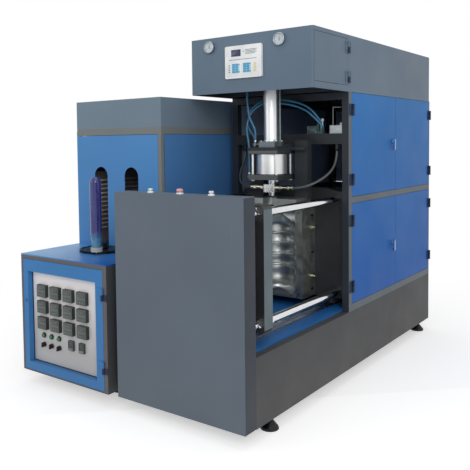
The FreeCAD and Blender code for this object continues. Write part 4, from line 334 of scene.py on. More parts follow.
def preform_skin(name):
    """Tinted preform plastic: deep violet body that pales to blue at its neck."""
    made = Finish(name)
    share = made.spread(made.axis("Z"), row("Z", NECK_BLUE), row("Z", BODY_VIOLET))
    swirl = made.spread(made.noise(9, 3.0, made.stretched((3, 3, 0.6))), 0.3, 0.7, -0.15, 0.15)
    tone = made.mixed(rgb(84, 148, 188), rgb(42, 42, 124), made.maths("ADD", share, swirl))
    return made.set(Base_Color=tone, Roughness=made.spread(made.noise(30, 3.0), 0.3, 0.7, 0.18, 0.30),
                    Coat_Weight=0.1, Coat_Roughness=0.10, Normal=made.bump(made.noise(12, 1.0), 0.001, 0.2),
                    Transmission_Weight=0.15, IOR=1.57).material


# ---------------------------------------------------------------- mesh building

FRONT = (Vector((1, 0, 0)), Vector((0, 0, 1)), Vector((0, -1, 0)))
RIGHT = (Vector((0, 1, 0)), Vector((0, 0, 1)), Vector((1, 0, 0)))
TOP = (Vector((1, 0, 0)), Vector((0, 1, 0)), Vector((0, 0, 1)))
BACK = (Vector((-1, 0, 0)), Vector((0, 0, 1)), Vector((0, 1, 0)))
UNDER = (Vector((1, 0, 0)), Vector((0, -1, 0)), Vector((0, 0, -1)))
SCREW_SIDES, SOCKET_SIDES = 18, 6


def circle(centre, axes, radius, level, steps, turn=0.0):
    """Points round the third of three axes, at a level along it."""
    across, up, out = axes
    return [Vector(centre) + out * level + (across * math.cos(a) + up * math.sin(a)) * radius
            for a in (turn + 2 * math.pi * i / steps for i in range(steps))]


def facing(angle):
    """A direction across the front, by its angle from the right."""
    turn = math.radians(angle)
    return Vector((math.cos(turn), 0, math.sin(turn)))


def corners(x, y, reach, z):
    """Four places on a square round a point."""
    return [(x + side, y + depth, z) for side in (-reach, reach) for depth in (-reach, reach)]


class Shape:
    """A mesh under construction in the drawing's millimetres, with one finish or several."""

    def __init__(self, *finishes):
        self.finishes = finishes
        self.mesh = bmesh.new()

    def face(self, verts, finish):
        made = self.mesh.faces.new(verts)
        made.material_index = finish
        made.smooth = True

    def skin(self, pairs, finish):
        for low, high in pairs:
            for i in range(len(low)):
                self.face((low[i - 1], low[i], high[i], high[i - 1]), finish)

    def loft(self, rings, finish=0, closed=False):
        """Skin a row of equal rings of points, closed on itself or with a cap at both ends."""
        rows = [[self.mesh.verts.new(point) for point in ring] for ring in rings]
        self.skin(list(zip(rows, rows[1:])) + ([(rows[-1], rows[0])] if closed else []), finish)
        if not closed:
            self.face(list(reversed(rows[0])), finish)
            self.face(rows[-1], finish)

    def lathe(self, centre, axes, profile, steps=32, finish=0, closed=False):
        """Turn a profile of (radius, height) pairs about the third of three axes."""
        self.loft([circle(centre, axes, max(radius, 0.01), height, steps) for radius, height in profile],
                  finish, closed)

    def slab(self, corner, axes, width, height, depth, radius=1.0, edge=0.3, finish=0):
        """A plate with rounded corners and a soft front edge, standing proud of a surface."""
        across, up, out = axes
        rings = []
        for inset, level in ((0, 0), (0, depth - edge), (edge * 0.3, depth - edge * 0.3), (edge, depth)):
            rings.append([Vector(corner) + across * u + up * v + out * level
                          for u, v in rounded(width, height, radius, inset)])
        self.loft(rings, finish)

    def bar(self, start, end, radius, steps=16, finish=0):
        """A straight round bar."""
        start, end = Vector(start), Vector(end)
        out = (end - start).normalized()
        across = out.orthogonal().normalized()
        self.lathe(start, (across, out.cross(across), out),
                   [(radius, 0), (radius, (end - start).length)], steps, finish)

    def screw(self, centre, axes, radius, height, finish=0):
        """A cap screw with a hexagon socket."""
        def ring(reach, level, sides):
            points = circle(centre, axes, radius * reach, height * level, sides)
            return [self.mesh.verts.new(point) for point in points]

        rim = [ring(reach, level, SCREW_SIDES) for reach, level in ((1, 0), (1, 0.8), (0.9, 1))]
        self.skin(zip(rim, rim[1:]), finish)
        mouth, floor = ring(0.52, 1, SOCKET_SIDES), ring(0.5, 0.35, SOCKET_SIDES)
        share = SCREW_SIDES // SOCKET_SIDES
        for i in range(SOCKET_SIDES):
            after = (i + 1) % SOCKET_SIDES
            outer = [rim[-1][(share * i + k) % SCREW_SIDES] for k in range(share + 1)]
            self.face(outer + [mouth[after], mouth[i]], finish)
            self.face((mouth[i], mouth[after], floor[after], floor[i]), finish)
        self.face(floor, finish)

    def tick(self, centre, angle, start, end, half_width, finish):
        """A printed line that points to the centre of a dial."""
        along = facing(angle)
        half = Vector((-along.z, 0, along.x)) * half_width
        near, far = centre + along * start, centre + along * end
        points = near - half, near + half, far + half, far - half
        self.face([self.mesh.verts.new(point) for point in points], finish)

    def stamp(self, mesh, matrix, finish=0):
        """Add a copy of a mesh made in millimetres."""
        copy = mesh.copy()
        copy.transform(matrix)
        before = len(self.mesh.faces)
        self.mesh.from_mesh(copy)
        self.mesh.faces.ensure_lookup_table()
        for face in self.mesh.faces[before:]:
            face.material_index = finish
            face.smooth = True
        bpy.data.meshes.remove(copy)

    def finished(self, name, body, corner=35):
        """The piece, in metres in the row's frame, riding on its body."""
        bmesh.ops.recalc_face_normals(self.mesh, faces=self.mesh.faces)
        mesh = bpy.data.meshes.new(name)
        self.mesh.transform(Matrix.Scale(MM, 4) @ Matrix.Translation(-ORIGIN))
        self.mesh.to_mesh(mesh)
        self.mesh.free()
        for finish in self.finishes:
            mesh.materials.append(finish)
        mesh.set_sharp_from_angle(angle=math.radians(corner))
        made = bpy.data.objects.new(name, mesh)
        bpy.context.scene.collection.objects.link(made)
        if body:
            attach(made, body)
        return made


def rounded(width, height, radius, inset=0.0):
    """Points round a rectangle with rounded corners, four steps to a corner."""
    radius = min(radius, width / 2, height / 2)
    round_in = max(radius - inset, 0.02)
    points = []
    for u, v, start in ((width - radius, radius, -90), (width - radius, height - radius, 0),
                        (radius, height - radius, 90), (radius, radius, 180)):
        for i in range(5):
            turn = math.radians(start + 22.5 * i)
            points.append((u + round_in * math.cos(turn), v + round_in * math.sin(turn)))
    return points


def mesh_of(curve):
    """The mesh of a curve or a text."""
    holder = bpy.data.objects.new("holder", curve)
    mesh = bpy.data.meshes.new_from_object(holder)
    bpy.data.objects.remove(holder)
    return mesh


def lettering(body, height):
    """A number as a flat mesh, in millimetres, centred on its own origin."""
    curve = bpy.data.curves.new("mark", "FONT")
    curve.body = body
    curve.size = height
    curve.align_x = "CENTER"
    curve.align_y = "CENTER"
    curve.resolution_u = 2
    return mesh_of(curve)


# ---------------------------------------------------------------- finishes

GREY_CONSOLE = rgb(97, 108, 120)
GREY_HEADER = rgb(101, 120, 138)
GREY_PLINTH = rgb(66, 67, 70)
GREY_FRAME = rgb(95, 105, 112)
GREY_TRIM = rgb(100, 96, 98)
GREY_OVEN = rgb(116, 134, 150)
# Painted shade: a darker grey for the console's +X side.
CONSOLE_SIDE_SHADE = rgb(50, 56, 67)
BLUE_DOOR = rgb(58, 108, 170)
BLUE_FRONT = rgb(78, 140, 200)
BLUE_DECK = rgb(36, 104, 170)
# Painted light: a pale blue for the pans' inner sides, which lie in shade.
BAY_BLUE_PAINTED_LIGHT = rgb(160, 176, 206)
NAVY = rgb(36, 48, 76)


def split_coat(name, value, before, beyond):
    """A coat of one colour before a place on the drawing and another beyond it."""
    return lambda made: made.mixed(before, beyond, made.past(name, value))


# A coat that fades between two colours; each coat made with it here paints light or a reflection into the
# colour.
def painted_light_fade(name, low, high, first, last):
    return lambda made: made.fading(name, low, high, first, last)


def door_coat(made):
    """The doors' one blue, a little paler towards their top as painted light, and the dark hinge leaves on
    their skin.
    """
    skin = made.fading("Z", PAN_EDGES[0][0], PAN_EDGES[-1][-1], rgb(20, 98, 184), rgb(42, 120, 192))
    return made.mixed(skin, NAVY, made.past("X", DOOR_SKIN))


def outside_back(made):
    """1 on the cabinet's outer left and back sides."""
    left = made.maths("SUBTRACT", 1.0, made.past("X", 0.5))
    return made.maths("MAXIMUM", left, made.past("Y", BACK_FACE - 0.5))


def panel_coat_painted_light(made):
    """Blue outside, and a paler blue on the sides that face the working bay: painted light that lifts those
    shaded inner sides.
    """
    return made.mixed(BAY_BLUE_PAINTED_LIGHT, BLUE_DOOR, outside_back(made))


def frame_coat_painted_shade(made):
    """Grey outside, and painted shade: dark on the posts' and beams' sides that face the front and the bay.
    """
    outside = made.maths("MAXIMUM", outside_back(made), made.past("X", CABINET_SIDE))
    return made.mixed(rgb(48, 54, 62), GREY_FRAME, outside)


STEEL = metal("turned_steel", rgb(170, 172, 174), 0.30, (20, 20, 1))
ZINC = metal("zinc_plate", rgb(186, 188, 186), 0.36, (1, 1, 1), 90)
DARK_STEEL = metal("blackened_steel", rgb(44, 46, 50), 0.40, (1, 1, 1), 120, stain=0.3, wear=0.3)
BRASS = metal("brass", rgb(202, 198, 176), 0.30, (1, 1, 1), 160)
CHROME = metal("hard_chrome", rgb(222, 224, 226), 0.10, (8, 0.4, 8), 60, streak=0.06, stain=0.25)
BRIGHT = metal("bright_tube", rgb(226, 229, 231), 0.34, (14, 14, 0.6), 80, streak=0.06, stain=0.06)
BLACK_PLASTIC = moulded("black_plastic", rgb(26, 27, 29), 0.42)
WHITE_PLASTIC = moulded("white_plastic", rgb(246, 248, 250), 0.40, coat=0.1)
WHITE_DIAL = moulded("dial_white", rgb(232, 238, 244), 0.5)
DIAL_INK = moulded("dial_ink", rgb(190, 198, 210), 0.5)
GREY_INK = moulded("grey_ink", rgb(134, 142, 150), 0.5)
RED_INK = moulded("red_ink", rgb(196, 30, 30), 0.45)
CERAMIC = moulded("ceramic", rgb(206, 202, 194), 0.55, 200, 0.0003)
HINGE_COAT = painted("hinge_coat", NAVY, 0.40, wear=0.3)
RIM = metal("satin_rim", rgb(170, 178, 186), 0.34, (1, 1, 1), 120)
CLEAR = glass("clear_cover", rgb(225, 232, 235))
HOSE_DARK = hose_skin("dark_hose_rubber", rgb(75, 80, 82), 0.40)
HOSE_BLUE = hose_skin("blue_hose_tube", rgb(46, 116, 152), 0.30)


BETWEEN_VALVES, UNDER_VALVES = 650, 1360
NOZZLE_HALF = 0.0372


def valve_coat_painted_shade(made):
    """Dark teal middle valve, white right one, and a dark coat below them: painted shade where the air ports
    sit in the dark.
    """
    boxes = made.mixed(rgb(66, 88, 92), rgb(192, 202, 207), made.past("X", BETWEEN_VALVES))
    return made.mixed(rgb(50, 54, 58), boxes, made.past("Z", UNDER_VALVES))


def turned_parts(name, bright, dull, breaks, rail=None):
    """Bright turned barrel with duller flanges below and above two levels, and a dull rail beside it."""
    made = Finish(name)
    low, high = breaks
    beside = made.past("X", rail) if rail else 0.0
    ends = made.maths("MAXIMUM", made.maths("SUBTRACT", 1.0, made.past("Z", low)), made.past("Z", high))
    ends = made.maths("MAXIMUM", ends, beside)
    line = made.noise(80, 3.0, made.stretched((14, 14, 0.6)))
    tone = made.mixed(made.scaled(bright, 0.95), made.scaled(bright, 1.05), made.spread(line, 0.25, 0.75))
    tone = made.mixed(tone, dull, ends)
    gloss = made.spread(made.maths("ADD", ends, made.times(line, 0.2)), 0.0, 1.2, 0.40, 0.48)
    return made.set(Base_Color=tone, Metallic=1.0, Roughness=gloss,
                    Normal=made.bump(line, 0.00012, 0.5)).material


def nozzle_metal():
    """Bright steel block whose screwed fittings, out on both sides, are brass."""
    made = Finish("nozzle_metal")
    away = made.maths("ABSOLUTE", made.maths("SUBTRACT", made.axis("X"), row("X", BLOW_X)))
    brass = made.spread(away, NOZZLE_HALF, NOZZLE_HALF + 0.0004)
    line = made.noise(120, 3.0)
    tone = made.mixed(rgb(214, 216, 216), rgb(202, 198, 176), brass)
    tone = made.mixed(tone, rgb(120, 118, 110), made.spread(line, 0.55, 0.8, 0.0, 0.35))
    return made.set(Base_Color=tone, Metallic=1.0, Roughness=made.spread(line, 0.3, 0.7, 0.16, 0.32),
                    Normal=made.bump(line, 0.0002, 0.4)).material


HEATER_SIDE, HOOD_FOOT, PLATEN_SIDE, STRETCH_RAIL, ABOVE_ALL = -56.4, 1450, 734.5, 434, 2400
TABLE_LIGHT_FADE, PANEL_LIGHT_FADE, OVEN_LIGHT_FADE = (-760, -60), (230, 560), (760, 1440)

NODE_FINISHES = {
    # The console's +X side is coloured darker: painted shade.
    "console_cover": painted("console_coat_painted_shade", split_coat("X", CABINET_SIDE, GREY_CONSOLE, CONSOLE_SIDE_SHADE), 0.44),
    "header_shell": painted("header_coat", GREY_HEADER, 0.42),
    "base_plinth": painted("plinth_coat", GREY_PLINTH, 0.50, 1.4, dust=0.25),
    "cabinet_frame": painted("frame_coat_painted_shade", frame_coat_painted_shade, 0.46),
    "cabinet_panels": painted("panel_coat_painted_light", panel_coat_painted_light, 0.40),
    "upper_front_door": painted("door_coat", door_coat, 0.38, shine=0.08),
    "deck_plate": painted("deck_coat", BLUE_DECK, 0.42, wear=0.8),
    "levelling_feet": metal("foot_steel", rgb(52, 54, 57), 0.42, (1, 1, 1), 90),
    "guide_rails": metal("ground_rail", rgb(150, 154, 158), 0.26, (1, 30, 1), 60),
    "hinge_brackets": HINGE_COAT,
    "upper_door_handle": metal("handle_steel", rgb(140, 170, 205), 0.26, (1, 1, 1), 60, streak=0.05),
    "front_platen": cast("front_platen_paint",
                         split_coat("X", PLATEN_SIDE, rgb(45, 45, 48), rgb(86, 103, 110))),
    "rear_platen": cast("rear_platen_paint", rgb(42, 43, 46)),
    "clamp_cylinder": cast("clamp_paint", rgb(60, 68, 74)),
    "tie_bars": CHROME,
    "front_mould_half": mould_metal("front_mould_metal", MOULD_SEAMS["front"]),
    "rear_mould_half": mould_metal("rear_mould_metal", MOULD_SEAMS["rear"]),
    "neck_plate": metal("milled_plate", rgb(160, 165, 162), 0.40, (1, 12, 1), 70, stain=0.45),
    "blow_support": painted("gantry_coat", rgb(48, 52, 56), 0.5, 1.6),
    "stretch_cylinder": turned_parts("stretch_barrel", rgb(228, 231, 233), rgb(112, 122, 127),
                                     (STRETCH_FOOT, ABOVE_ALL), STRETCH_RAIL),
    "stretch_rod": metal("stretch_rod_steel", rgb(112, 116, 120), 0.42, (14, 14, 0.6), 80),
    "seal_cylinder": turned_parts("seal_barrel", rgb(222, 224, 224), rgb(92, 96, 98),
                                  (FLANGE_LOW, FLANGE_TOP)),
    "blow_nozzle": nozzle_metal(),
    "valve_blocks": painted("valve_coat_painted_shade", valve_coat_painted_shade, 0.40, 0.5),
    "blue_hoses": HOSE_BLUE,
    "control_panel": WHITE_PLASTIC,
    "gauge_cases": RIM,
    "gauge_needle_left": moulded("needle_enamel", rgb(60, 62, 68), 0.35),
    "button_collars": moulded("collar_white", rgb(246, 248, 248), 0.34, coat=0.2),
    "start_button_left": moulded("start_pale_green", rgb(232, 242, 236), 0.34, coat=0.2),
    "start_button_right": moulded("start_pale_grey", rgb(236, 238, 240), 0.34, coat=0.2),
    "emergency_stop": moulded("stop_red", rgb(230, 168, 168), 0.34, coat=0.2),
    # The heater's +X side, facing the console, is coloured a dark grey: painted shade.
    "heater_cabinet": painted("heater_coat_painted_shade", split_coat("X", HEATER_SIDE, GREY_TRIM, rgb(72, 75, 79)), 0.44),
    # Pale at the left end and deep blue at the right: painted reflection of the pale background at a grazing
    # angle.
    "heater_table": painted("table_coat_painted_reflection", painted_light_fade("X", *TABLE_LIGHT_FADE, rgb(92, 162, 214), rgb(20, 90, 172)),
                            0.36, wear=0.7),
    "heater_front_door": painted("heater_door_coat", rgb(60, 126, 188), 0.40),
    # Greyer at the bottom and paler at the top: painted light.
    "instrument_panel": painted("instrument_coat_painted_light",
                                painted_light_fade("Z", *PANEL_LIGHT_FADE, rgb(196, 195, 196), rgb(246, 242, 242)),
                                0.40, 0.5, wear=0.2),
    "lamp_regulators": moulded("regulator_case", rgb(46, 50, 50), 0.45),
    "panel_indicators": moulded("meter_case", rgb(62, 66, 68), 0.45),
    "rotary_switch_left": BLACK_PLASTIC,
    "oven_casing": painted("hood_coat", split_coat("Z", HOOD_FOOT, rgb(122, 127, 127), GREY_OVEN), 0.40),
    "oven_front_panel": painted("oven_front_coat", BLUE_FRONT, 0.38),
    # Deeper blue low down and paler high up: painted light.
    "oven_side_panels": painted("oven_side_coat_painted_light",
                                painted_light_fade("Z", *OVEN_LIGHT_FADE, rgb(64, 110, 166), rgb(78, 130, 186)), 0.38),
    # A pale pinkish matte coat in place of bright reflector metal: painted reflection, so the racks look lit
    # inside the dark oven.
    "lamp_racks": moulded("reflector_painted_reflection", rgb(160, 142, 138), 0.40, coat=0.2),
    "front_sprocket": metal("sprocket_steel", rgb(40, 42, 46), 0.36, (1, 1, 1), 120, stain=0.2),
    "preform_spindle": moulded("spindle_cream", rgb(192, 187, 178), 0.42),
    "preform": preform_skin("preform_plastic"),
    "drive_motor": painted("motor_coat", rgb(90, 96, 100), 0.45, 1.8),
}
SHARED_FINISHES = {
    "header_shell": ("header_side_door",),
    "upper_front_door": ("upper_rear_door", "lower_front_door", "lower_rear_door"),
    "upper_door_handle": ("lower_door_handle",),
    "tie_bars": ("clamp_rod",),
    "gauge_needle_left": ("gauge_needle_right",),
    "rotary_switch_left": ("rotary_switch_middle", "rotary_switch_right"),
    "front_sprocket": ("rear_sprocket",),
}


def finish_nodes():
    """Give every kept node its worked material."""
    for first, finish in NODE_FINISHES.items():
        for name in (first,) + SHARED_FINISHES.get(first, ()):
            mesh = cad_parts[name].data
            mesh.materials.clear()
            mesh.materials.append(finish)


# ---------------------------------------------------------------- header: gauges and keypad

GAUGES = {"left": 139, "right": 590}
GAUGE_LEVEL, GAUGE_STEPS = 1889, 48
DIAL_Y, BEZEL_Y, GLASS_Y = 626.95, 619, 620.8
DIAL = [(1.8, 0), (28.8, 0), (28.8, 0.3), (1.8, 0.3)]
BEZEL = [(28.7, -3.2), (33.4, -3.2), (33.6, -0.4), (33.0, 1.6), (31.4, 2.6), (29.6, 2.0), (28.7, 0.4)]
GAUGE_GLASS = [(0, 1.5), (11, 1.3), (20, 0.8), (28.6, 0), (28.6, -0.8), (0, -0.8)]
PRINT_LIFT = Vector((0, -0.38, 0))
SCALE_START, SCALE_SWEEP, TICKS, LONG_TICKS = 225, 270, 40, 8
TICK_START, TICK_SHORT, TICK_LONG, TICK_THIN, TICK_THICK = 26.0, 23.4, 20.8, 0.22, 0.45
FIGURES, FIGURE_REACH, FIGURE_HEIGHT = ("0", "2", "4", "6", "8", "10"), 15.2, 6.6


def make_gauge(side, x):
    """Printed dial, satin bezel and a slightly crowned glass."""
    face = Shape(WHITE_DIAL, DIAL_INK)
    face.lathe((x, DIAL_Y, GAUGE_LEVEL), FRONT, DIAL, GAUGE_STEPS, closed=True)
    centre = Vector((x, DIAL_Y, GAUGE_LEVEL)) + PRINT_LIFT
    for i in range(TICKS + 1):
        end, half = (TICK_SHORT, TICK_THIN) if i % LONG_TICKS else (TICK_LONG, TICK_THICK)
        face.tick(centre, SCALE_START - SCALE_SWEEP * i / TICKS, TICK_START, end, half, 1)
    for i, figure in enumerate(FIGURES):
        spot = centre + facing(SCALE_START - SCALE_SWEEP * i / (len(FIGURES) - 1)) * FIGURE_REACH
        face.stamp(lettering(figure, FIGURE_HEIGHT),
                   Matrix.Translation(spot) @ Matrix.Rotation(math.pi / 2, 4, "X"), 1)
    face.finished("gauge_dial_" + side, "machine")
    ring = Shape(RIM)
    ring.lathe((x, BEZEL_Y, GAUGE_LEVEL), FRONT, BEZEL, GAUGE_STEPS, closed=True)
    ring.finished("gauge_bezel_" + side, "machine", 50)
    lens = Shape(CLEAR)
    lens.lathe((x, GLASS_Y, GAUGE_LEVEL), FRONT, GAUGE_GLASS, GAUGE_STEPS)
    lens.finished("gauge_glass_" + side, "machine", 60)


PANEL_LEFT, PANEL_BOTTOM, PANEL_FACE = 249, 1705, 621
KEY_GROUPS, AMBER_KEYS, KEYS_LOW, KEY_PROUD = (46, 118), 186, 27, 1.5
KEY_DROP, AMBER_DROP, LABEL_DROP, DIGIT_STEP = 12.6, 17, 12, 13
DIGIT_BARS = ((0, 20, 7, 1.4), (0, 10, 7, 1.4), (0, 0.4, 7, 1.4), (-0.8, 11, 1.4, 8.4), (6.4, 11, 1.4, 8.4),
              (-0.8, 1.6, 1.4, 8.4), (6.4, 1.6, 1.4, 8.4))
RULED_LINES = ((134, 147, 73), (134, 140, 66), (134, 133, 73), (134, 126, 60), (117, 140, 9), (28, 98, 178))
MEMBRANE, DISPLAY, SEGMENT, BLUE_KEY, AMBER_KEY, PRINT, KEY_GROUND = range(7)


def make_keypad():
    """Membrane face, dark display, two tight blue key groups, an amber column and ruled lines."""
    face = Shape(moulded("membrane", rgb(244, 249, 252), 0.46),
                 moulded("display_glass", rgb(34, 42, 82), 0.16, coat=0.4),
                 moulded("display_segment", rgb(54, 64, 108), 0.30),
                 moulded("key_blue", rgb(70, 160, 206), 0.36, coat=0.2),
                 moulded("key_amber", rgb(230, 222, 178), 0.40), GREY_INK,
                 moulded("key_ground", rgb(186, 226, 240), 0.44))

    def plate(u, v, wide, tall, proud, finish, radius=1.5, lift=0.4):
        face.slab((PANEL_LEFT + u, PANEL_FACE - lift, PANEL_BOTTOM + v), FRONT, wide, tall, proud, radius,
                  0.05 if proud < 0.5 else 0.3, finish)

    plate(9, 9, 217, 157, 0.5, MEMBRANE, 6, 0)
    plate(41.5, 117.5, 62, 36, 0.4, DISPLAY, 1.5, 0.5)
    for digit in range(4):
        for u, v, wide, tall in DIGIT_BARS:
            plate(48 + DIGIT_STEP * digit + u, 124 + v, wide, tall, 0.2, SEGMENT, 0.5, 0.95)
    for left in KEY_GROUPS:
        plate(left + 0.5, KEYS_LOW + 0.5, 51, 52, 0.3, KEY_GROUND, 3, KEY_PROUD)
        for line in range(4):
            low = KEYS_LOW + KEY_DROP * line
            for column, wide in ((1.5, 20), (23, 19)):
                plate(left + column, low + 2, wide, 11.4, 0.6, BLUE_KEY, 2, KEY_PROUD + 0.2)
            if line in (0, 3):
                plate(left + 43.5, low + 3, 7, 8, 0.5, PRINT, 1.5, KEY_PROUD + 0.2)
    for line in range(3):
        plate(AMBER_KEYS + 1, KEYS_LOW + 1.5 + AMBER_DROP * line, 18, 15.5, 0.6, AMBER_KEY, 2.5, KEY_PROUD)
    for u, v, wide in RULED_LINES:
        plate(u, v, wide, 3.4, 0.2, PRINT, 1, 0.45)
    for line in range(4):
        plate(24, 32 + LABEL_DROP * line, 10, 6, 0.6, PRINT, 1.5)
    face.finished("panel_face", "machine")


# ---------------------------------------------------------------- screws

HINGE_LEVELS = {"upper": (1110, 1500), "lower": (504, 878)}
HEADER_HINGES = (1678, 1840)
LEAF_FACE, LEAF_SCREWS = 783.8, (12.8, 51.2)
POST_LEAF, FRONT_LEAF, REAR_LEAF, HEADER_LEAF, HEADER_DOOR_LEAF = 1067, 1107, 2349, 1056, 1016
PAN_SCREWS = (64, 390, 716)


def leaf_screws(name, body, leaves):
    """Two countersunk screws on each hinge leaf, given by its middle y and the level of its foot."""
    made = Shape(HINGE_COAT)
    for y, foot in leaves:
        for rise in LEAF_SCREWS:
            made.screw((LEAF_FACE, y, foot + rise), RIGHT, 3.6, 1.6)
    made.finished(name, body)


def make_hinge_screws():
    for level, feet in HINGE_LEVELS.items():
        leaf_screws(level + "_front_hinge_screws", level + "_front", [(FRONT_LEAF, z) for z in feet])
        leaf_screws(level + "_rear_hinge_screws", level + "_rear", [(REAR_LEAF, z) for z in feet])
    posts = [(POST_LEAF, z) for feet in HINGE_LEVELS.values() for z in feet]
    leaf_screws("fixed_hinge_screws", "machine", posts + [(HEADER_LEAF, z) for z in HEADER_HINGES])
    leaf_screws("header_hinge_screws", "header_door", [(HEADER_DOOR_LEAF, z) for z in HEADER_HINGES])


def make_skin_screws():
    """Low cap screws that hold the back pans."""
    made = Shape(DARK_STEEL)
    for edges in PAN_EDGES:
        for x in PAN_SCREWS:
            for z in edges:
                made.screw((x, BACK_FACE, z), BACK, 4.2, 2.2)
    made.finished("skin_screws", "machine")


# ---------------------------------------------------------------- clamp, mould and blow unit

CLAMP_LEVEL = 761
CAP_FRONT, CAP_REAR, ROD_FLANGE = 1352, 1924, 1194


def bolt_circle(shape, y, reach, count, radius, height, turn=0.0):
    """Cap screws round the clamp's axis, on a face that looks back."""
    for spot in circle((BLOW_X, y, CLAMP_LEVEL), BACK, reach, 0, count, turn):
        shape.screw(spot, BACK, radius, height)


def make_clamp_bolts():
    bolts = Shape(DARK_STEEL)
    bolt_circle(bolts, CAP_FRONT, 113, 10, 6.5, 9)
    bolt_circle(bolts, CAP_REAR, 92, 8, 8, 10)
    bolts.finished("clamp_cylinder_bolts", "clamp_frame")
    rod_bolts = Shape(DARK_STEEL)
    bolt_circle(rod_bolts, ROD_FLANGE, 49, 6, 6, 8, 0.3)
    rod_bolts.finished("rod_flange_bolts", "rear_clamp")


MOULD_SIDE, DOWEL_REACH = 541, 128
STRIP_SCREWS, NIPPLES, DOWELS = (500, 716, 930), (575, 860), (484, 952)
NIPPLE = [(11, 0), (11, 7), (7, 8), (7, 18), (8, 19), (8, 23), (5, 24), (5, 4)]
BUSH = [(9, 0), (9, 0.12), (6.5, 0.12), (6, -3), (0, -3)]


def make_mould_details(side, body, seam_face, strip_y, edge_y, nipple_y):
    """Socket screws, water nipples and dowel bushes of one mould half."""
    made = Shape(DARK_STEEL, BRASS, STEEL)
    for z in STRIP_SCREWS:
        made.screw((MOULD_SIDE, strip_y, z), RIGHT, 7, 4)
        made.screw((MOULD_SIDE, edge_y, z), RIGHT, 4.5, 3)
    for z in NIPPLES:
        made.lathe((MOULD_SIDE, nipple_y, z), RIGHT, NIPPLE, 6, 1)
    for x in (BLOW_X - DOWEL_REACH, BLOW_X + DOWEL_REACH):
        for z in DOWELS:
            made.lathe((x, MOULD_SEAMS[side], z), seam_face, BUSH, 24, 2)
    made.finished(side + "_mould_details", body)


ROD_NUTS, ROD_REACH, CAP_REACH = 1139, 77, 42
NUT = [(6, 0), (10.5, 0), (11, 1), (11, 7), (10.5, 8), (6, 8)]
FLANGE_RING = [(84.6, 0.5), (86.6, 0.5), (87.2, 1.2), (87.2, 2.6), (86.6, 3.4), (84.6, 3.4)]
FOOT_RING = [(41.6, 0), (47, 0), (47, 5), (45, 8), (41.6, 8)]
TOP_RING = [(41.6, 0), (46, 0), (46, 8), (41.6, 10)]


def make_blow_details():
    """Nuts under the seal flange, cap screws on the stretch cap and rings on the cylinders."""
    nuts = Shape(STEEL)
    for spot in corners(BLOW_X, BLOW_Y, ROD_REACH, ROD_NUTS):
        nuts.lathe(spot, TOP, NUT, 6)
    for spot in corners(BLOW_X, BLOW_Y, CAP_REACH, STRETCH_FOOT):
        nuts.screw(spot, TOP, 5.5, 5)
    nuts.finished("blow_unit_screws", "machine")
    rings = Shape(DARK_STEEL, BRIGHT)
    for level, profile, steps, finish in ((FLANGE_LOW, FLANGE_RING, 64, 0), (FLANGE_TOP, FLANGE_RING, 64, 0),
                                          (STRETCH_FOOT, FOOT_RING, 48, 1), (STRETCH_TOP, TOP_RING, 48, 1)):
        rings.lathe((BLOW_X, BLOW_Y, level), TOP, profile, steps, finish, closed=True)
    rings.finished("cylinder_rings", "machine")


RAILS, RAIL_TOP, PLUGS, PLUG_START, PLUG_PITCH = (150, 630), 440, 14, 200, 155


def make_rail_plugs():
    plugs = Shape(DARK_STEEL)
    for x in RAILS:
        for i in range(PLUGS):
            plugs.lathe((x, PLUG_START + PLUG_PITCH * i, RAIL_TOP), TOP, [(6.5, 0), (6.5, 0.1), (0, 0.1)], 20)
    plugs.finished("rail_plugs", "machine")


VALVE_FRONT, BEAM_Y, PORT_LEVEL, PORT_REACH = 1040, 1066, 1316, 310
NOZZLE_LEVEL, FITTING_REACH = 1100, 128
COLLET = [(6.7, 0), (8.8, 0), (8.8, 5), (7.8, 6), (7.8, 8), (6.7, 8)]
COLLETS = ((259, 839, 1185), (259, 899, 1325), (302, 839, 1369), (607, 1075, 1428), (607, 1057, 1428))
HEADER_COLLET = (253, 831, 1678)
AIR_PORT = [(7.2, -12), (10.5, -12), (11.5, -8), (11.5, 0), (7.2, 0)]
FERRULE = [(7.2, 0), (9.6, 0), (10.2, 2), (10.2, 10), (9.6, 12), (7.2, 12)]
PLUG_KNOB = [(4, 0), (4, 24), (8, 26), (9, 32), (8, 40), (5, 42), (0, 42)]
PILOT_PIPE = ((676, BEAM_Y, 1447), (676, BEAM_Y, 1550), (756, BEAM_Y, 1547))
PIPE_BEND = [(0, -2.8), (2.6, -1.8), (3.2, 0), (2.6, 1.8), (0, 2.8)]


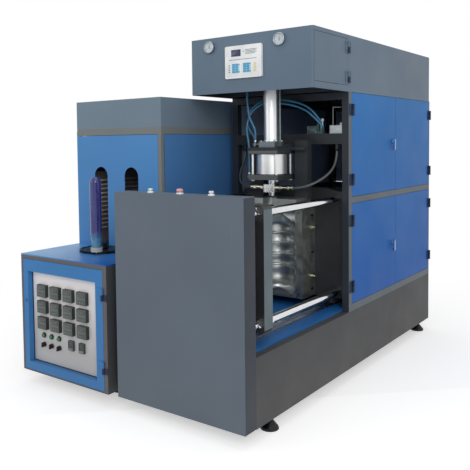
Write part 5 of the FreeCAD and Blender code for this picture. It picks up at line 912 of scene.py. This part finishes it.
def make_valve_details():
    """Coil housings' covers and screws, plugs, a bent pilot pipe and the hoses' collets."""
    made = Shape(moulded("valve_cover", rgb(72, 92, 94), 0.42), ZINC, DARK_STEEL,
                 moulded("valve_white", rgb(190, 200, 202), 0.45),
                 moulded("pilot_pipe", rgb(140, 146, 150), 0.5))
    for x, finish in ((520, 0), (664, 3)):
        made.slab((x + 14, VALVE_FRONT, 1414), FRONT, 46, 20, 2, 3, 0.6, finish)
        for u, z in ((12, 1436), (62, 1413)):
            made.screw((x + u, VALVE_FRONT, z), FRONT, 2.6, 1.5, 1)
    made.lathe((610, BEAM_Y, 1447), TOP, PLUG_KNOB, 24, 3)
    for start, end in zip(PILOT_PIPE, PILOT_PIPE[1:]):
        made.bar(start, end, 2.4, 16, 4)
    made.lathe(PILOT_PIPE[1], TOP, PIPE_BEND, 16, 4)
    for spot in COLLETS:
        made.lathe(spot, TOP, COLLET, 24, closed=True)
    made.lathe(HEADER_COLLET, TOP, [(r, 8 - h) for r, h in COLLET], 24, closed=True)
    for x in (BLOW_X - PORT_REACH, BLOW_X + PORT_REACH):
        made.lathe((x, BEAM_Y, PORT_LEVEL), TOP, AIR_PORT, 6, 2, closed=True)
    made.finished("valve_details", "machine")
    ferrules = Shape(BRASS)
    for start in (BLOW_X - FITTING_REACH - FERRULE[-1][1], BLOW_X + FITTING_REACH):
        ferrules.lathe((start, BLOW_Y, NOZZLE_LEVEL), RIGHT, FERRULE, 24, closed=True)
    ferrules.finished("hose_ferrules", "nozzle")


HOSE_ROUTE = ((FITTING_REACH, BLOW_Y, NOZZLE_LEVEL), (210, BLOW_Y, NOZZLE_LEVEL), (300, 985, 1170),
              (PORT_REACH, BEAM_Y, 1250), (PORT_REACH, BEAM_Y, PORT_LEVEL))
HOSE_RADIUS = 7


def make_flexing_hoses():
    """Two dark air hoses, each a curve from the nozzle's fitting to its air port."""
    for side, sign in (("right", 1), ("left", -1)):
        route = [(BLOW_X + sign * x, y, z) for x, y, z in HOSE_ROUTE]
        curve = bpy.data.curves.new("hose", "CURVE")
        curve.dimensions = "3D"
        line = curve.splines.new("NURBS")
        line.points.add(len(route) - 1)
        for point, place in zip(line.points, route):
            point.co = (*at(*place), 1.0)
        line.order_u = 3
        line.use_endpoint_u = True
        line.resolution_u = 12
        curve.bevel_depth = HOSE_RADIUS * MM
        curve.bevel_resolution = 5
        curve.use_fill_caps = True
        mesh = mesh_of(curve)
        mesh.materials.clear()
        mesh.materials.append(HOSE_DARK)
        hose = bpy.data.objects.new("air_hose_" + side, mesh)
        bpy.context.scene.collection.objects.link(hose)
        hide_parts("dark_hoses")
        at(*route[-1])
        at(*route[1])
        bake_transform(hose)


# ---------------------------------------------------------------- heater

WINDOW_LEFT, WINDOW_RIGHT, WINDOW_LOW, WINDOW_TOP, INSTRUMENT_Y = -689, -139, 127, 645, 20
REGULATOR_LEFT, REGULATOR_LOW, REGULATOR_Y, REGULATORS = -629, 505, -2, 12
REGULATOR_PITCH, REGULATOR_DROP, REGULATOR_DIGIT = 109, 91, 16
REGULATOR_BARS = ((0, 12.6, 8, 1.2), (0, 6.4, 8, 1.2), (0, 0.2, 8, 1.2), (-0.6, 7, 1.2, 5.6),
                  (7.4, 7, 1.2, 5.6), (-0.6, 0.8, 1.2, 5.6), (7.4, 0.8, 1.2, 5.6))
CASE, WINDOW, DIGIT, KEY = range(4)


def make_regulator_faces():
    """Front frames, sunk displays and keys of the twelve lamp regulators."""
    made = Shape(moulded("regulator_face", rgb(76, 86, 82), 0.42),
                 moulded("regulator_display", rgb(58, 64, 62), 0.20, coat=0.3),
                 moulded("regulator_digit", rgb(104, 112, 108), 0.35),
                 moulded("regulator_key", rgb(112, 120, 116), 0.42))
    for i in range(REGULATORS):
        x = REGULATOR_LEFT + REGULATOR_PITCH * (i % 4)
        z = REGULATOR_LOW - REGULATOR_DROP * (i // 4)

        def plate(u, v, wide, tall, proud, lift, finish):
            made.slab((x + u, REGULATOR_Y - lift, z + v), FRONT, wide, tall, proud, 1.5, 0.1, finish)

        plate(1.2, 1.2, 72.6, 65.6, 0.7, 0, CASE)
        plate(8, 41, 59, 19, 0.5, 0.6, WINDOW)
        for digit in range(3):
            for u, v, wide, tall in REGULATOR_BARS:
                plate(14 + REGULATOR_DIGIT * digit + u, 43.6 + v, wide, tall, 0.12, 1.05, DIGIT)
        for left in (10, 26, 42):
            plate(left, 10, 11, 7, 0.6, 1.4, KEY)
        plate(9, 31, 57, 3, 0.25, 0.6, KEY)
    made.finished("regulator_faces", "heater_door")


LAMP_PLACES, LAMP_LEVEL, SWITCH_LEVEL = (-595, -531, -467), 285, 232
LENS = [(12.3, 5), (12.3, 9), (11.6, 13), (9.4, 16), (5.5, 17.6), (0, 18)]
LENS_BEZEL = [(12.2, 3), (14.2, 3), (15.2, 3.8), (15.2, 6), (14.2, 7.4), (12.2, 7.4)]


def make_signal_lamps():
    lenses = Shape(moulded("lamp_green", rgb(48, 112, 76), 0.26, coat=0.2))
    bezels = Shape(DARK_STEEL)
    for x in LAMP_PLACES:
        lenses.lathe((x, INSTRUMENT_Y, LAMP_LEVEL), FRONT, LENS, 32)
        bezels.lathe((x, INSTRUMENT_Y, LAMP_LEVEL), FRONT, LENS_BEZEL, 32, closed=True)
    lenses.finished("signal_lenses", "heater_door", 50)
    bezels.finished("signal_bezels", "heater_door", 50)


METER_PLACES, METER_LEVEL, METER_TICKS = (-383, -299), 239, 8
METER_START, METER_SWEEP, METER_REACH = 145, 110, 22


def make_meter_faces():
    """Dark scale, pointer and lighter foot of the two meters under the regulators."""
    made = Shape(moulded("meter_dial", rgb(62, 66, 64), 0.5), GREY_INK,
                 moulded("meter_foot", rgb(126, 126, 122), 0.45))
    for x in METER_PLACES:
        made.slab((x + 4.4, 8, METER_LEVEL + 16.4), FRONT, 31.2, 33.2, 0.5, 1, 0.1)
        pivot = Vector((x + 20, 7.3, METER_LEVEL + 22))
        for i in range(METER_TICKS + 1):
            angle = METER_START - METER_SWEEP * i / METER_TICKS
            made.tick(pivot, angle, METER_REACH, 19.5 if i % 4 else 17, 0.25, 1)
        made.bar(pivot, pivot + Vector((-8, 0, 19)), 0.35, 8, 1)
        made.slab((x + 3, 6.1, METER_LEVEL + 2), FRONT, 34, 13, 1.2, 2, 0.4, 2)
    made.finished("meter_faces", "heater_door")


def make_switch_marks():
    """A scale ring of dots round each rotary switch and a red line on its grip."""
    dots = Shape(GREY_INK)
    for x, body in zip(LAMP_PLACES, ("left_switch", "middle_switch", "right_switch")):
        centre = Vector((x, INSTRUMENT_Y, SWITCH_LEVEL))
        for i in range(7):
            dots.lathe(centre + facing(210 - 40 * i) * 19.5, FRONT, [(1.1, 0), (1.1, 0.15), (0, 0.15)], 10)
        mark = Shape(RED_INK)
        mark.slab((x - 1.4, INSTRUMENT_Y - 23.9, SWITCH_LEVEL - 2), FRONT, 2.8, 14.5, 0.35, 1, 0.1)
        mark.finished(body + "_mark", body)
    dots.finished("switch_scales", "heater_door")


LOCK_X, LOCK_LEVEL, STILE_FACE = -709, 475, -18
LOCK = [(9, 0), (9, 1.6), (8, 2.4), (0, 2.4)]
LEAF_FEET, LEAF_COLUMNS = (175, 556), (-114, -99)
GASKET = 5


def make_heater_door_trim():
    """Small lock on the left stile, window gasket and hinge screws."""
    made = Shape(NODE_FINISHES["heater_front_door"], HINGE_COAT)
    made.lathe((LOCK_X, STILE_FACE, LOCK_LEVEL), FRONT, LOCK, 28)
    made.slab((LOCK_X - 1, STILE_FACE - 2.4, LOCK_LEVEL - 5), FRONT, 2, 10, 0.4, 0.8, 0.1, 1)
    for foot in LEAF_FEET:
        for x in LEAF_COLUMNS:
            made.screw((x, STILE_FACE, foot + 48), FRONT, 3.2, 1.5)
    made.finished("heater_door_trim", "heater_door")
    seal = Shape(BLACK_PLASTIC)
    wide, tall = WINDOW_RIGHT - WINDOW_LEFT, WINDOW_TOP - WINDOW_LOW
    for x, z, across, up in ((WINDOW_LEFT, WINDOW_LOW, wide, GASKET),
                             (WINDOW_LEFT, WINDOW_TOP - GASKET, wide, GASKET),
                             (WINDOW_LEFT, WINDOW_LOW + GASKET, GASKET, tall - 2 * GASKET),
                             (WINDOW_RIGHT - GASKET, WINDOW_LOW + GASKET, GASKET, tall - 2 * GASKET)):
        seal.slab((x, INSTRUMENT_Y, z), FRONT, across, up, 3, 1, 0.8)
    seal.finished("window_gasket", "heater_door")


LANE, RACK_REACH = -414, 236
TUBE_START, TUBE_END, CAP_LENGTH = 471, 1443, 17
TUBES, TUBE_LOW, TUBE_PITCH = 12, 836, 27


def make_heating_tubes():
    """Quartz tubes with metal end caps in ceramic sockets on the racks' end plates."""
    tubes = Shape(quartz("quartz_tube"), STEEL)
    sockets = Shape(CERAMIC, DARK_STEEL)
    for x in (LANE - RACK_REACH, LANE + RACK_REACH):
        for i in range(TUBES):
            z = TUBE_LOW + TUBE_PITCH * i
            tubes.bar((x, TUBE_START + CAP_LENGTH - 1, z), (x, TUBE_END - CAP_LENGTH + 1, z), 5.4, 14)
            for y in (TUBE_START, TUBE_END - CAP_LENGTH):
                tubes.bar((x, y, z), (x, y + CAP_LENGTH, z), 5.8, 14, 1)
            for y in (TUBE_START - CAP_LENGTH, TUBE_END + 3):
                sockets.slab((x - 15, y + 14, z - 7), FRONT, 30, 14, 14, 3, 1.2)
                sockets.screw((x - 11, y, z), FRONT, 2.2, 1.2, 1)
    lamps = tubes.finished("heating_tubes", "machine")
    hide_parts("heating_lamps")
    sockets.finished("tube_sockets", "machine")


LOOP_RADIUS, LOOP_FRONT, LOOP_BACK = 125, 308, 1308


def loop_place(share):
    """Place and direction on the conveyor's loop, share 0 to 1 of its length."""
    run, half = LOOP_BACK - LOOP_FRONT, math.pi * LOOP_RADIUS
    gone = share % 1.0 * 2 * (run + half)

    def bend(y, turn):
        place = Vector((LANE + LOOP_RADIUS * math.cos(turn), y + LOOP_RADIUS * math.sin(turn), 0))
        return place, turn + math.pi / 2

    if gone < run:
        return Vector((LANE + LOOP_RADIUS, LOOP_FRONT + gone, 0)), math.pi / 2
    gone -= run
    if gone < half:
        return bend(LOOP_BACK, gone / LOOP_RADIUS)
    gone -= half
    if gone < run:
        return Vector((LANE - LOOP_RADIUS, LOOP_BACK - gone, 0)), -math.pi / 2
    return bend(LOOP_FRONT, math.pi + (gone - run) / LOOP_RADIUS)


LINKS = 112
OUTER_PLATES = ((15, 742.6, 744.6), (15, 754.6, 756.6))
INNER_PLATES = ((14, 745.0, 747.0), (14, 752.2, 754.2))
PIN_FOOT, PIN = 742.2, [(3.2, 0), (3.2, 14.8), (0, 15)]
ROLLER_FOOT, ROLLER = 747, [(5.4, 0), (5.4, 5.2)]


def make_chain():
    """Roller chain: inner and outer plates by turns, on rollers."""
    pitch = 2 * (LOOP_BACK - LOOP_FRONT + math.pi * LOOP_RADIUS) / LINKS

    def plate(width, low, high):
        points = []
        for middle, start in ((pitch / 2, -90), (-pitch / 2, 90)):
            points += [(middle + width / 2 * math.cos(math.radians(start + 30 * i)),
                        width / 2 * math.sin(math.radians(start + 30 * i))) for i in range(7)]
        part = Shape()
        part.loft([[Vector((u, v, level)) for u, v in points] for level in (low, high)])
        mesh = bpy.data.meshes.new("plate")
        part.mesh.to_mesh(mesh)
        part.mesh.free()
        return mesh

    outer = [plate(*sizes) for sizes in OUTER_PLATES]
    inner = [plate(*sizes) for sizes in INNER_PLATES]
    chain = Shape(metal("chain_steel", rgb(58, 60, 64), 0.34, (1, 1, 1), 90, stain=0.4, wear=0.4), DARK_STEEL)
    for i in range(LINKS):
        spot, turn = loop_place((i + 0.5) / LINKS)
        for mesh in outer if i % 2 else inner:
            chain.stamp(mesh, Matrix.Translation(spot) @ Matrix.Rotation(turn, 4, "Z"))
        spot, _ = loop_place(i / LINKS)
        chain.lathe(spot + Vector((0, 0, PIN_FOOT)), TOP, PIN, 12, 1)
        chain.lathe(spot + Vector((0, 0, ROLLER_FOOT)), TOP, ROLLER, 14, 1)
    links = chain.finished("conveyor_links", "machine")
    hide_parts("conveyor_chain")


MOTOR_RIBS, RIB_FOOT, RIB_PITCH, FAN_FOOT, MOTOR_TOP, FLANGE_REACH = 14, 470, 10, 430, 640, 48
MOTOR_RIB = [(64.5, 0), (70, 0.6), (70, 2.4), (64.5, 3)]
FAN_COVER = [(58, 0), (68, 2), (70, 6), (70, 32), (64, 34), (58, 34)]


def make_motor_details():
    """Cooling ribs, fan cover and flange screws of the conveyor's motor."""
    made = Shape(NODE_FINISHES["drive_motor"], STEEL)
    for i in range(MOTOR_RIBS):
        made.lathe((LANE, LOOP_BACK, RIB_FOOT + RIB_PITCH * i), TOP, MOTOR_RIB, 48, closed=True)
    made.lathe((LANE, LOOP_BACK, FAN_FOOT), TOP, FAN_COVER, 48, closed=True)
    for spot in corners(LANE, LOOP_BACK, FLANGE_REACH, MOTOR_TOP):
        made.screw(spot, UNDER, 6, 6, 1)
    made.finished("motor_details", "machine")


FEET = [(48, 275), (732, 275), (48, 2280), (732, 2280), (-616, 206), (-186, 206), (-616, 1266), (-186, 1266)]
LOCK_NUT = [(14.1, 0), (20, 0), (21, 1), (21, 9), (20, 10.2), (14.1, 10.2)]
SOLE = [(41, 0), (44, 0), (44.4, 1), (44.4, 6), (43, 7), (41, 7)]
PAD_TOP = 61.5


def make_foot_details():
    """Lock nuts under the pads and rubber soles round the discs."""
    made = Shape(NODE_FINISHES["levelling_feet"], BLACK_PLASTIC)
    for x, y in FEET:
        made.lathe((x, y, PAD_TOP), TOP, LOCK_NUT, 6, closed=True)
        made.lathe((x, y, 0), TOP, SOLE, 40, 1, closed=True)
    made.finished("foot_details", "machine")


# ---------------------------------------------------------------- studio

FLOOR_GREY, FLOOR_GLOW, FLOOR_NEAR, FLOOR_FAR = 0.8, 0.5, 1.6, 3.2
WORLD_LEVEL = 0.50
LAMPS = (("key", (4100, -3700, 3400), (300, 600, 900), 2.6, 106),
         ("fill", (-3400, -3600, 2600), (-200, 500, 900), 2.4, 26),
         ("top", (400, 1000, 5200), (200, 1000, 0), 3.4, 34))


def seen_rays(tree):
    """1 for the rays that see the background: straight on, in a gloss and through glass."""
    rays = tree.nodes.new("ShaderNodeLightPath").outputs
    seen = rays["Is Camera Ray"]
    for name in ("Is Glossy Ray", "Is Transmission Ray"):
        seen = node(tree, "Math", 0, {0: seen, 1: rays[name]}, operation="MAXIMUM")
    return seen


def floor_finish():
    """Pale floor that looks white, with the object's soft shadow left near its feet."""
    made = Finish("studio_floor")
    away = made.spread(made.vectors("LENGTH", "Value", made.place), FLOOR_NEAR, FLOOR_FAR)
    seen = seen_rays(made.tree)
    ground = made.spread(made.times(away, seen), 0.0, 1.0, FLOOR_GREY, 0.0)
    glow = made.times(made.spread(away, 0.0, 1.0, FLOOR_GLOW, 1.0), seen)
    return made.set(Base_Color=made.grey(ground), Roughness=0.7, Specular_IOR_Level=0.0,
                    Emission_Color=(1, 1, 1, 1), Emission_Strength=glow).material


def make_studio():
    """Pale floor, soft lamps and a plain world that is white where it is seen."""
    floor_shape = Shape(floor_finish())
    floor_shape.slab((-9000, -9000, -20), TOP, 20000, 20000, 20, 10, 1)
    floor = floor_shape.finished("floor", None)
    world = bpy.data.worlds.new("studio")
    bpy.context.scene.world = world
    world.use_nodes = True
    tree = world.node_tree
    background = tree.nodes["Background"]
    background.inputs["Color"].default_value = (1, 1, 1, 1)
    level = node(tree, "MapRange", "Result", {"Value": seen_rays(tree), "To Min": WORLD_LEVEL, "To Max": 1.0})
    feed(tree, background.inputs["Strength"], level)
    for name, place, aim, wide, power in LAMPS:
        data = bpy.data.lights.new(name, "AREA")
        data.shape = "SQUARE"
        data.size = wide
        data.energy = power
        lamp = bpy.data.objects.new(name, data)
        lamp.location = at(*place)
        lamp.rotation_mode = "QUATERNION"
        lamp.rotation_quaternion = (at(*aim) - at(*place)).to_track_quat("-Z", "Y")
        bpy.context.scene.collection.objects.link(lamp)
    bpy.context.scene.view_settings.view_transform = "Standard"


# ---------------------------------------------------------------- everything

make_camera()
finish_nodes()
for side, x in GAUGES.items():
    make_gauge(side, x)
make_keypad()
make_hinge_screws()
make_skin_screws()
make_clamp_bolts()
make_mould_details("front", "clamp_frame", BACK, 338, 420, 374)
make_mould_details("rear", "rear_clamp", FRONT, 1068, 1054, 1064)
make_blow_details()
make_rail_plugs()
make_valve_details()
make_flexing_hoses()
make_regulator_faces()
make_signal_lamps()
make_meter_faces()
make_switch_marks()
make_heater_door_trim()
make_heating_tubes()
make_chain()
make_motor_details()
make_foot_details()
make_studio()
